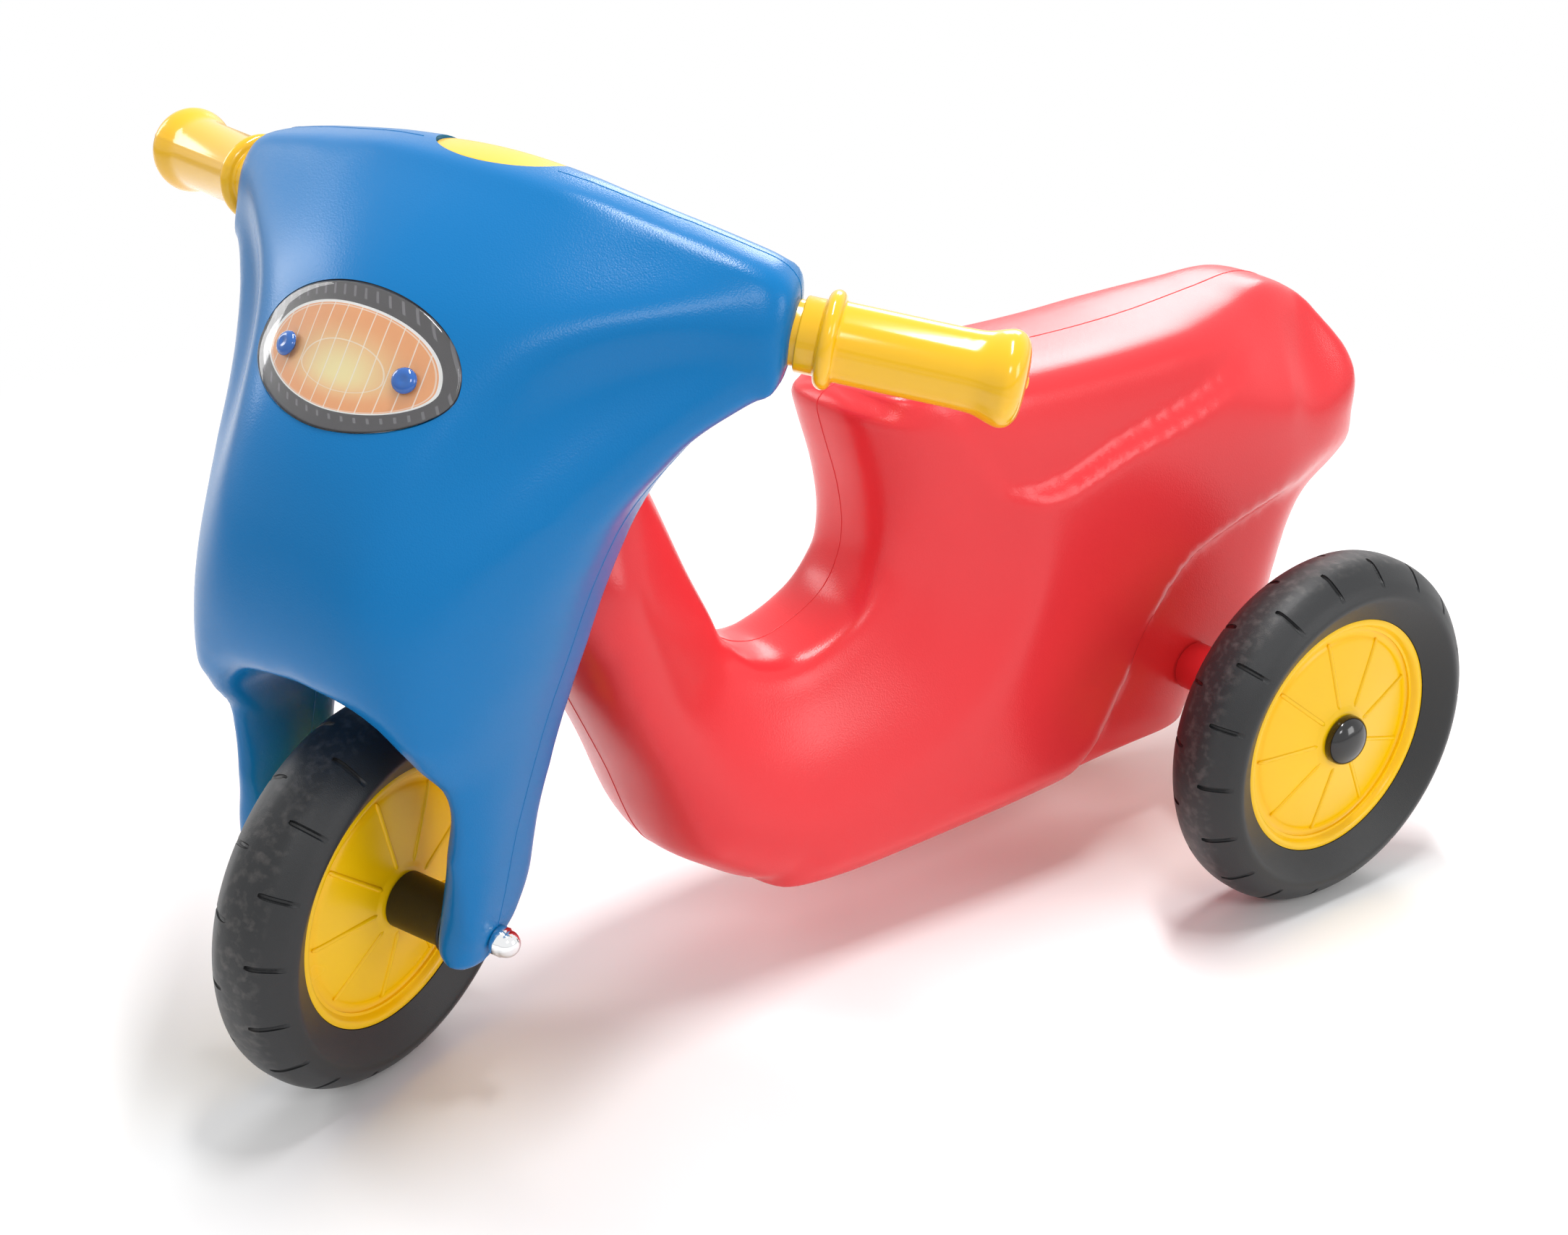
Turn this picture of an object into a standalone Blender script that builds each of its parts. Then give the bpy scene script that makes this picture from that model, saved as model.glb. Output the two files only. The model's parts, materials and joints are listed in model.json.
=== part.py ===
"""Toddler ride-on motorcycle, modelled piece by piece.

A red blow-moulded body carries the seat, the step-through and the front column. A blue moulded
fairing, whose two legs are the front fork, turns on the column about a raked steel pin. It holds the
yellow grips, the headlight and the front wheel. Two more wheels run on an axle through the tail.

Lengths are in millimetres, and MM turns them into the scene's metres. The vehicle faces -Y, its left
side is +X and Z is up. Everything is drawn from the ground point under the rear axle, and the whole
vehicle is then set with the centre of its footprint at the world's origin. The steering stands
turned to the left, so the front group is drawn straight ahead and turned by its pivot.
"""
import math

import bmesh
import bpy
import numpy as np
from mathutils import Matrix, Quaternion, Vector
from mathutils.geometry import delaunay_2d_cdt

MM = 0.001

# Clearances
FIT = 0.3
RUNNING = 0.3

# Wheels and axles
WHEEL_RADIUS = 82.5
TYRE_HALF_WIDTH = 19.5
TYRE_SHOULDER_RADIUS = 68.0
TYRE_BORE_RADIUS = 50.0
RIM_LIP_RADIUS = 55.3
RIM_LIP_HALF_WIDTH = 11.5
RIM_LIP_WIDTH = 2.8
RIM_CHANNEL_DEPTH = 4.5
HUB_RADIUS = 13.0
HUB_HALF_WIDTH = 13.5
RIB_COUNT = 9
RIB_WIDTH = 2.2
RIB_INNER_RADIUS = 16.5
RIB_OUTER_RADIUS = 46.0
RIB_PHASE = math.radians(21.0)
AXLE_RADIUS = 4.0
BUSH_WALL = 2.6
WHEEL_STEPS = 40
AXLE_STEPS = 16

# Chassis
WHEELBASE = 408.0
REAR_TRACK = 240.0
SLEEVE_RADIUS = 11.6
CAP_RADIUS = 11.6
CAP_HEIGHT = 8.5
CAP_RIM_HEIGHT = 2.0

# Body, side view, and half widths
GROUND_CLEARANCE = 36.5
FLOOR_HEIGHT = 141.0
SEAT_HEIGHT = 248.5
SEAT_REAR_RISE = 9.5
SEAT_FRONT_REACH = 180.5
TAIL_REACH = 118.0
TAIL_LIP_HEIGHT = 160.0
COLUMN_REAR_REACH = 258.0
COLUMN_FRONT_REACH = 321.0
COLUMN_LEAN = 0.56
BODY_HALF_WIDTH = 50.5
FLANK_HALF_WIDTH = 54.0
ARCH_DEPTH = 14.0
ARCH_EDGE = 13.0
PANEL_DEPTH = 4.0
PANEL_EDGE = 6.0

# Steering
RAKE = math.radians(13.0)
STEER_AT_REST = math.radians(24.0)
HEAD_RADIUS = 26.0
HEAD_BOTTOM = 124.6
CROWN_COVER = 40.6
STEERING_PIN_RADIUS = 5.0
STEERING_BUSH_RADIUS = 7.8
STEERING_BUSH_LENGTH = 22.0
BUSH_FLANGE_RADIUS = 13.0
BUSH_FLANGE = 2.0
WEB_THICKNESS = 14.0
PIN_HEAD_RADIUS = 7.5
PIN_HEAD_HEIGHT = 6.0
PIN_HEAD_SINK = 22.0
WASHER_RADIUS = 10.0
WASHER_THICKNESS = 1.5
NUT_WIDTH = 16.0
NUT_HEIGHT = 7.0
PIN_TAIL = 2.0

# Fairing, front view from its own pivot at the front axle
CROWN_HEIGHT = 283.0
SHOULDER_HALF_SPAN = 120.5
SHOULDER_HEIGHT = 238.5
SHOULDER_HALF_HEIGHT = 23.8
SHOULDER_SET_BACK = 33.5
SHOULDER_FRONT_DEPTH = 17.0
SHOULDER_BACK_DEPTH = 21.0
FORK_GAP_HALF_WIDTH = 41.0
FORK_LEG_WIDTH = 18.5
FORK_TIP_DROP = 12.5
ARCH_ROOF_HEIGHT = 103.0
LEG_BACK_DEPTH = 24.5
FLANK_SWELL = 0.055
FLANK_SWELL_START = 25.0
RECESS_RADIUS = 30.0
RECESS_HALF_WIDTH = 64.0
RECESS_FLARE = 15.0

# Grips
GRIP_SWEEP = math.radians(21.3)
GRIP_DROP = math.radians(5.2)
GRIP_RADIUS = 14.5
GRIP_END_RADIUS = 17.6
GRIP_BEAD_RADIUS = 18.0
GRIP_BEAD_WIDTH = 6.5
GRIP_LENGTH = 64.0
GRIP_COLLAR_LENGTH = 9.0
GRIP_PLUG_RADIUS = 12.0
GRIP_PLUG_LENGTH = 38.0

# Headlight
LIGHT_HEIGHT = 222.7
LIGHT_HALF_WIDTH = 43.6
LIGHT_UPPER_HEIGHT = 26.4
LIGHT_LOWER_HEIGHT = 15.8
LIGHT_POCKET_DEPTH = 4.0
LIGHT_PANEL_THICKNESS = 1.4
LIGHT_LENS_THICKNESS = 2.0
STUD_SPACING = 51.6
STUD_RISE = 2.6
STUD_HEAD_RADIUS = 4.6
STUD_STEM_RADIUS = 2.2
STUD_STEM_LENGTH = 8.0

# Crown cap
TOP_CAP_HALF_LENGTH = 27.0
TOP_CAP_HALF_WIDTH = 18.7
TOP_CAP_THICKNESS = 3.0
TOP_CAP_DROP = 1.5
TOP_CAP_BACK_DROP = 4.5
TOP_CAP_SET_BACK = 9.2
TOP_CAP_TILT = math.radians(7.0)

# Mesh fineness
OUTLINE_STEP = 10.0
GRID_STEP = 13.0
ROW_DEPTHS = (0.35, 1.6, 4.5, 9.0, 15.0)
BLEND_POWER = 8.0

# Values that follow from the ones above
AXLE_HEIGHT = WHEEL_RADIUS
WHEEL_BUSH_RADIUS = AXLE_RADIUS + RUNNING + BUSH_WALL
HEAD_TOP = CROWN_HEIGHT - CROWN_COVER
WEB_TOP = HEAD_BOTTOM - 2 * FIT - BUSH_FLANGE
WEB_BOTTOM = WEB_TOP - WEB_THICKNESS
RECESS_ROOF = HEAD_TOP + 2 * FIT + BUSH_FLANGE
SEAT_REAR_HEIGHT = SEAT_HEIGHT + SEAT_REAR_RISE


# Materials

def finish(name, colour, roughness, metallic=0.0):
    """A plain surface finish."""
    material = bpy.data.materials.new(name)
    material.use_nodes = True
    shader = material.node_tree.nodes["Principled BSDF"]
    shader.inputs["Base Color"].default_value = (*colour, 1.0)
    shader.inputs["Roughness"].default_value = roughness
    shader.inputs["Metallic"].default_value = metallic
    material.diffuse_color = (*colour, 1.0)
    return material


# Curves and blends

def soft_step(value, start, end):
    """0 before start, 1 after end, smooth between."""
    t = np.clip((np.asarray(value, float) - start) / (end - start), 0.0, 1.0)
    return t * t * (3.0 - 2.0 * t)


def smallest(*sizes):
    """The least of several sizes, with the corners between them rounded."""
    total = sum(np.maximum(size, 1e-6) ** -BLEND_POWER for size in sizes)
    return total ** (-1.0 / BLEND_POWER)


def largest(first, second):
    """The greater of two sizes, with the corner between them rounded."""
    return (np.maximum(first, 0.1) ** BLEND_POWER + second ** BLEND_POWER) ** (1.0 / BLEND_POWER)


def through(pairs):
    """A monotone smooth function through (place, value) pairs, straight past its ends."""
    place, value = np.array(pairs, float).T
    step = np.diff(place)
    slope = np.diff(value) / step
    tangent = np.concatenate([slope[:1], np.zeros(len(slope) - 1), slope[-1:]])
    for i in range(1, len(slope)):
        if slope[i - 1] * slope[i] > 0:
            near, far = 2 * step[i] + step[i - 1], step[i] + 2 * step[i - 1]
            tangent[i] = (near + far) / (near / slope[i - 1] + far / slope[i])

    def curve(at):
        at = np.asarray(at, float)
        i = np.clip(np.searchsorted(place, at) - 1, 0, len(step) - 1)
        t = np.clip((at - place[i]) / step[i], 0.0, 1.0)
        inside = ((1 + 2 * t) * (1 - t) ** 2 * value[i] + t * (1 - t) ** 2 * step[i] * tangent[i]
                  + t * t * (3 - 2 * t) * value[i + 1] + t * t * (t - 1) * step[i] * tangent[i + 1])
        before = np.minimum(at - place[0], 0.0) * tangent[0]
        after = np.maximum(at - place[-1], 0.0) * tangent[-1]
        return inside + before + after

    return curve


def rounding(*pairs):
    """How far a moulded wall stands out, by its distance in from the outline's edge."""
    curve = through([(math.sqrt(depth), size) for depth, size in ((0.0, 0.0),) + pairs])
    return lambda distance: curve(np.sqrt(np.maximum(distance, 0.0)))


def smooth_line(points, step, before=None, after=None):
    """Points about one step apart on a smooth curve through the given ones.

    The curve leaves and arrives as if it went on to the points before and after, where they're given.
    """
    points = [np.array(point, float) for point in points]
    before = 2 * points[0] - points[1] if before is None else np.array(before, float)
    after = 2 * points[-1] - points[-2] if after is None else np.array(after, float)
    padded = [before, *points, after]
    line = [points[0]]
    for i in range(1, len(padded) - 2):
        a, b, c, d = padded[i - 1:i + 3]
        times = [0.0]
        for start, end in ((a, b), (b, c), (c, d)):
            times.append(times[-1] + math.sqrt(np.linalg.norm(end - start)))
        out_b = (c - a) / times[2] * (times[2] - times[1])
        out_c = (d - b) / (times[3] - times[1]) * (times[2] - times[1])
        count = max(1, round(np.linalg.norm(c - b) / step))
        for j in range(1, count + 1):
            t = j / count
            line.append((1 + 2 * t) * (1 - t) ** 2 * b + t * (1 - t) ** 2 * out_b
                        + t * t * (3 - 2 * t) * c + t * t * (t - 1) * out_c)
    return line


def closed_lines(edges, step):
    """The edges of an outline as fine lines, which run on smoothly into each other at blunt joints."""
    lines = []
    for i, edge in enumerate(edges):
        last, following = edges[i - 1], edges[(i + 1) % len(edges)]
        before = last[-2] if blunt(last, edge) else None
        after = following[1] if blunt(edge, following) else None
        lines.append(smooth_line(edge, step, before, after))
    return lines


def blunt(edge, following):
    """Whether two edges meet at less than a 35 degree turn."""
    arriving = Vector(edge[-1]) - Vector(edge[-2])
    leaving = Vector(following[1]) - Vector(following[0])
    return arriving.angle(leaving) < math.radians(35.0)


def distance_to(line, points):
    """Shortest distance from each point to a line of short straight pieces."""
    starts, ends = np.array(line[:-1]), np.array(line[1:])
    along = ends - starts
    offset = points[:, None, :] - starts[None]
    t = np.clip((offset * along).sum(2) / np.maximum((along ** 2).sum(1), 1e-9), 0.0, 1.0)
    return np.linalg.norm(offset - t[..., None] * along, axis=2).min(1)


def parallel(line, offset):
    """Points beside a line, at a distance to its left."""
    line = np.array(line)
    way = np.gradient(line, axis=0)
    way /= np.linalg.norm(way, axis=1)[:, None]
    return line + np.stack([-way[:, 1], way[:, 0]], 1) * offset


def inside_of(loop, points):
    """Which points lie within a closed outline."""
    start, end = loop, np.roll(loop, -1, axis=0)
    crossing = (start[None, :, 1] > points[:, None, 1]) != (end[None, :, 1] > points[:, None, 1])
    rise = np.where(end[:, 1] == start[:, 1], 1.0, end[:, 1] - start[:, 1])
    where = start[:, 0] + (points[:, None, 1] - start[:, 1]) * (end[:, 0] - start[:, 0]) / rise
    return (crossing & (points[:, None, 0] < where)).sum(1) % 2 == 1


# Meshes

def add_piece(name, mesh, material, parent=None, smooth=40.0):
    """One finished piece as an object of its own."""
    for polygon in mesh.polygons:
        polygon.use_smooth = True
    mesh.set_sharp_from_angle(angle=math.radians(smooth))
    piece = bpy.data.objects.new(name, mesh)
    bpy.context.scene.collection.objects.link(piece)
    if material:
        mesh.materials.append(material)
    if parent:
        piece.parent = parent
    return piece


def closed_mesh(name, points, faces, place=None):
    """A closed mesh in metres, with its faces turned outwards."""
    bm = bmesh.new()
    corners = [bm.verts.new(Vector(point) * MM) for point in points]
    for face in faces:
        bm.faces.new([corners[i] for i in face])
    bmesh.ops.recalc_face_normals(bm, faces=bm.faces)
    if place:
        bm.transform(place)
    mesh = bpy.data.meshes.new(name)
    bm.to_mesh(mesh)
    bm.free()
    return mesh


def shift(x=0.0, y=0.0, z=0.0):
    return Matrix.Translation(Vector((x, y, z)) * MM)


def turned(name, profile, steps, place=None, phase=0.0):
    """A piece turned about the X axis, from (x, radius) points along its outline.

    Points at radius 0 at both ends close a solid piece. Otherwise the outline closes on itself.
    """
    points, rings = [], []
    for x, radius in profile:
        if radius == 0:
            rings.append([len(points)])
            points.append((x, 0.0, 0.0))
            continue
        rings.append(list(range(len(points), len(points) + steps)))
        for k in range(steps):
            angle = phase + (k + 0.5) * math.tau / steps
            points.append((x, radius * math.cos(angle), radius * math.sin(angle)))
    pairs = list(zip(rings, rings[1:]))
    if len(rings[0]) > 1:
        pairs.append((rings[-1], rings[0]))
    faces = []
    for one, two in pairs:
        for k in range(steps):
            loop = [one[k % len(one)], one[(k + 1) % len(one)], two[(k + 1) % len(two)], two[k % len(two)]]
            faces.append(list(dict.fromkeys(loop)))
    return closed_mesh(name, points, faces, place)


def tube(name, radius, bore, start, end, steps, place=None):
    """A plain sleeve along X."""
    return turned(name, [(start, radius), (end, radius), (end, bore), (start, bore)], steps, place)


def rod(name, radius, start, end, steps, place=None, edge=0.6):
    """A plain rod along X with its end edges broken."""
    profile = [(start, 0), (start, radius - edge), (start + edge, radius),
               (end - edge, radius), (end, radius - edge), (end, 0)]
    return turned(name, profile, steps, place)


def cutter(name, mesh, parent=None):
    """A guide solid that only cuts others."""
    piece = add_piece(name, mesh, None, parent)
    piece.hide_render = True
    piece.display_type = 'WIRE'
    return piece


def carve(piece, *tools, join=False):
    """Cut each tool out of the piece, or join it on."""
    for tool in tools:
        change = piece.modifiers.new(tool.name, 'BOOLEAN')
        change.operation = 'UNION' if join else 'DIFFERENCE'
        change.solver = 'EXACT'
        change.object = tool


def moulding(name, edges, one_side, other_side, creases=()):
    """A two-half moulding: its outline lies on the parting face, and each half rises from it.

    Every edge is a list of outline points. A side is a function of the flat places and of their
    distances to each edge, and it gives the places in space. Each crease is a line that the mesh
    follows, with the width of the step beside it.
    """
    lines = closed_lines(edges, OUTLINE_STEP)
    loop = np.array([point for line in lines for point in line[:-1]])
    normal = np.roll(loop, -1, axis=0) - np.roll(loop, 1, axis=0)
    normal = np.stack([-normal[:, 1], normal[:, 0]], 1)
    normal /= np.linalg.norm(normal, axis=1)[:, None]
    if not inside_of(loop, loop[:1] + normal[:1])[0]:
        normal = -normal
    closed = np.vstack([loop, loop[:1]])

    rows = [loop]
    for depth in ROW_DEPTHS:
        row = loop + normal * depth
        keep = (distance_to(closed, row) > 0.96 * depth) & inside_of(loop, row)
        spaced = []
        for point in row[keep]:
            if not spaced or np.linalg.norm(point - spaced[-1]) > 0.45 * OUTLINE_STEP:
                spaced.append(point)
        rows.append(np.array(spaced))
    low, high = loop.min(0), loop.max(0)
    grid = []
    for j in range(int((high[1] - low[1]) / (GRID_STEP * 0.866)) + 1):
        for i in range(int((high[0] - low[0]) / GRID_STEP) + 1):
            grid.append((low[0] + (i + 0.5 * (j % 2)) * GRID_STEP, low[1] + j * GRID_STEP * 0.866))
    grid = np.array(grid)
    clear = ROW_DEPTHS[-1] + 0.6 * GRID_STEP
    grid = grid[inside_of(loop, grid) & (distance_to(closed, grid) > clear)]
    folds = []
    for line, width in creases:
        for offset in (0.0, width):
            fold = parallel(line, offset)
            fold = fold[inside_of(loop, fold) & (distance_to(closed, fold) > 0.25 * OUTLINE_STEP)]
            folds.append(fold)
            for i, row in enumerate(rows[1:], 1):
                rows[i] = row[distance_to(fold, row) > 0.3 * OUTLINE_STEP]
            grid = grid[distance_to(fold, grid) > 0.6 * GRID_STEP]
    flat = np.vstack(rows + [grid] + folds)

    count = len(loop)
    rim = [(i, (i + 1) % count) for i in range(count)]
    while True:
        result = delaunay_2d_cdt([Vector(point) for point in flat], rim, [], 1, 1e-4)
        flat = np.array([tuple(point) for point in result[0]])
        chords = {tuple(sorted((f[k], f[(k + 1) % 3]))) for f in result[2] for k in range(3)}
        chords = [c for c in chords if c[1] < count and (c[1] - c[0]) not in (1, count - 1)]
        if not chords:
            break
        flat = np.vstack([flat] + [(flat[a] + flat[b])[None] / 2 for a, b in chords])

    spans = [distance_to(line, flat) for line in lines]
    front, back = one_side(flat, spans), other_side(flat, spans)
    inner = np.arange(len(flat)) >= count
    partner = np.where(inner, np.cumsum(inner) - 1 + len(flat), np.arange(len(flat)))
    points = np.vstack([front, back[inner]])
    faces = [list(face) for face in result[2]]
    faces += [[int(partner[i]) for i in reversed(face)] for face in result[2]]
    return closed_mesh(name, [tuple(point) for point in points], faces)


# Steering axis: u runs up along it from the front axle, and b is how far behind it

def axis_place(u, b=0.0, x=0.0):
    """A place by the steering axis, from the front axle's centre."""
    return Vector((x, b * math.cos(RAKE) + u * math.sin(RAKE), u * math.cos(RAKE) - b * math.sin(RAKE)))


def column_place(u, b):
    """The same place in the body's side view, as (y, z)."""
    place = axis_place(u, b)
    return place.y - WHEELBASE, place.z + AXLE_HEIGHT


def along_axis():
    """Turns a piece made along X so that it stands along the steering axis."""
    return Matrix.Rotation(-RAKE, 4, 'X') @ Matrix.Rotation(-math.pi / 2, 4, 'Y')


# Body

def body_edges():
    """The side view of the body as named edges, from the head down the front and round the back."""
    seat, floor, low = SEAT_HEIGHT, FLOOR_HEIGHT, GROUND_CLEARANCE
    rear = SEAT_REAR_HEIGHT
    front = -COLUMN_FRONT_REACH
    back = -COLUMN_REAR_REACH
    nose = -SEAT_FRONT_REACH
    tail, lip = TAIL_REACH, TAIL_LIP_HEIGHT
    top_front = column_place(HEAD_TOP, -HEAD_RADIUS)
    top_back = column_place(HEAD_TOP, HEAD_RADIUS)
    heel_front = column_place(HEAD_BOTTOM, -HEAD_RADIUS)
    heel_back = column_place(HEAD_BOTTOM, 0.8 * HEAD_RADIUS)
    neck_back = column_place(HEAD_TOP - 30.0, HEAD_RADIUS)
    head_front = [top_front, heel_front]
    heel = [heel_front, heel_back]
    chin = [heel_back, (front - 14.0, floor + 33.0), (front, floor + 4.0), (front + 18.0, floor - 35.0),
            (front + 34.0, floor - 73.0), (front + 52.0, low + 16.0), (front + 76.0, low + 3.0)]
    bottom = [(front + 76.0, low + 3.0), (front + 111.0, low), (front + 145.0, low + 0.7), (-114.0, low + 4.5),
              (-40.0, low + 10.5), (20.0, low + 13.0)]
    stern = [(20.0, low + 13.0), (52.0, low + 23.0), (68.0, low + 46.0), (74.0, low + 72.0),
             (85.0, lip - 21.0), (103.0, lip - 8.0), (tail - 4.0, lip - 1.0)]
    transom = [(tail - 4.0, lip - 1.0), (tail, lip + 11.0), (tail - 6.0, lip + 37.0), (tail - 20.0, lip + 62.0),
               (tail - 36.0, rear - 19.0), (tail - 50.0, rear - 6.0)]
    seat_top = [(tail - 50.0, rear - 6.0), (48.0, rear), (20.0, rear - 3.0), (-20.0, seat + 2.0),
                (-60.0, seat), (-110.0, seat), (-160.0, seat + 1.5), (nose - 6.0, seat)]
    seat_front = [(nose - 6.0, seat), (nose - 14.0, seat - 7.0), (nose - 11.0, seat - 20.0),
                  (nose - 3.0, seat - 45.0), (nose, floor + 42.0), (nose - 2.5, floor + 28.0)]
    floor_line = [(nose - 2.5, floor + 28.0), (nose - 9.0, floor + 16.0), (nose - 20.0, floor + 8.0),
                  (nose - 34.0, floor + 2.0), (nose - 46.0, floor), (back + 17.0, floor + 4.0),
                  (back + 7.0, floor + 13.0)]
    column_back = [(back + 7.0, floor + 13.0), (back, floor + 28.0), (back - 11.0, floor + 50.0),
                   (back - 27.0, floor + 86.0), (back - 43.0, floor + 117.0), (back - 58.0, floor + 136.0),
                   neck_back]
    head_back = [neck_back, top_back]
    head_end = [top_back, top_front]
    return [head_front, heel, chin, bottom, stern, transom, seat_top, seat_front, floor_line,
            column_back, head_back, head_end]


def arch_crease():
    """The crease that rounds the rear wheel, from the tail down to the underside."""
    low, lip = GROUND_CLEARANCE, TAIL_LIP_HEIGHT
    return smooth_line([(TAIL_REACH + 30.0, lip + 22.0), (TAIL_REACH - 34.0, lip + 16.0), (61.0, lip + 10.0),
                        (38.0, lip + 7.0), (4.0, lip - 2.0), (-20.0, lip - 12.0), (-38.0, lip - 30.0),
                        (-50.0, lip - 48.0), (-59.0, lip - 68.0), (-69.0, lip - 86.0),
                        (-81.0, low + 21.0), (-96.0, low - 20.0)], OUTLINE_STEP)


def wheel_arch_depth(flat):
    """How far the flank is drawn in behind the crease that rounds the rear wheel."""
    crease = arch_crease()
    region = np.array(crease + [(TAIL_REACH + 30.0, GROUND_CLEARANCE - 20.0)])
    inwards = np.where(inside_of(region, flat), distance_to(crease, flat), 0.0)
    return ARCH_DEPTH * soft_step(inwards, 0.0, ARCH_EDGE)


def panel_crease():
    """The V-shaped rim of the sunken side panel, from the seat's front to its middle."""
    seat = SEAT_HEIGHT
    return smooth_line([(-166.0, seat + 4.0), (-153.0, seat - 18.0), (-139.0, seat - 38.0), (-129.0, seat - 50.0),
                        (-116.0, seat - 54.0), (-97.0, seat - 53.0), (-66.0, seat - 43.0), (-36.0, seat - 36.0),
                        (-4.0, seat - 27.0), (17.0, seat - 18.0), (36.0, seat - 12.0)], 0.7 * OUTLINE_STEP)


def side_panel_depth(flat):
    """How far the side panel under the seat edge is sunk."""
    rim, seat = panel_crease(), SEAT_HEIGHT
    region = np.array(rim + [(36.0, seat + 40.0), (-166.0, seat + 40.0)])
    inwards = np.where(inside_of(region, flat), distance_to(rim, flat), 0.0)
    return PANEL_DEPTH * soft_step(inwards, 0.0, PANEL_EDGE)


def body_half_width(flat, spans):
    """Half the body's width at each place of its side view."""
    y = flat[:, 0]
    nose_edge = rounding((1.0, 13.0), (3.0, 24.0), (7.0, 36.0), (12.0, 44.0), (20.0, 51.0), (40.0, 80.0))
    head_edge = rounding((2.0, 10.0), (6.0, 16.5), (13.0, 22.5), (26.0, 26.0), (38.0, 26.5), (48.0, 30.0),
                         (56.0, 35.0), (68.0, 43.0), (80.0, 54.0), (110.0, 100.0))
    flat_edge = rounding((0.35, 30.0), (1.6, 60.0), (4.5, 90.0), (20.0, 200.0))
    bottom_edge = rounding((0.35, 33.0), (1.6, 39.0), (4.5, 45.0), (9.0, 51.0), (20.0, 80.0))
    stern_edge = rounding((2.0, 13.0), (6.0, 22.0), (12.0, 29.0), (22.0, 37.0), (40.0, 52.0), (80.0, 90.0))
    transom_edge = rounding((1.0, 10.0), (4.0, 20.0), (10.0, 31.0), (20.0, 41.0), (35.0, 49.0), (60.0, 58.0),
                            (100.0, 80.0))
    seat_edge = rounding((0.35, 22.0), (1.6, 34.0), (4.5, 42.0), (9.0, 48.0), (15.0, 52.0), (30.0, 64.0),
                         (60.0, 100.0))
    horn_edge = rounding((0.35, 9.0), (1.6, 17.0), (4.5, 25.0), (9.0, 30.0), (14.0, 36.0), (22.0, 50.0),
                         (40.0, 80.0))
    floor_edge = rounding((0.35, 9.0), (1.6, 19.0), (4.5, 26.0), (9.0, 29.0), (20.0, 33.0), (40.0, 42.0),
                          (60.0, 52.0), (80.0, 70.0))
    column_edge = rounding((0.35, 7.0), (1.6, 14.0), (4.5, 21.0), (9.0, 26.0), (22.0, 37.0), (37.0, 51.0),
                           (60.0, 80.0))
    edges = [head_edge, flat_edge, nose_edge, bottom_edge, stern_edge, transom_edge, seat_edge, horn_edge,
             floor_edge, column_edge, head_edge, flat_edge]
    flank = BODY_HALF_WIDTH + (FLANK_HALF_WIDTH - BODY_HALF_WIDTH) * soft_step(y, -190.0, -110.0)
    flank = flank - wheel_arch_depth(flat) - side_panel_depth(flat)
    return smallest(flank, *[edge(span) for edge, span in zip(edges, spans)])


def body_side(sign):
    def side(flat, spans):
        width = body_half_width(flat, spans) * sign
        width[spans_on_outline(spans)] = 0.0
        return np.stack([width, flat[:, 0], flat[:, 1]], 1)
    return side


def spans_on_outline(spans):
    return np.min(spans, axis=0) < 1e-3


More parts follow.
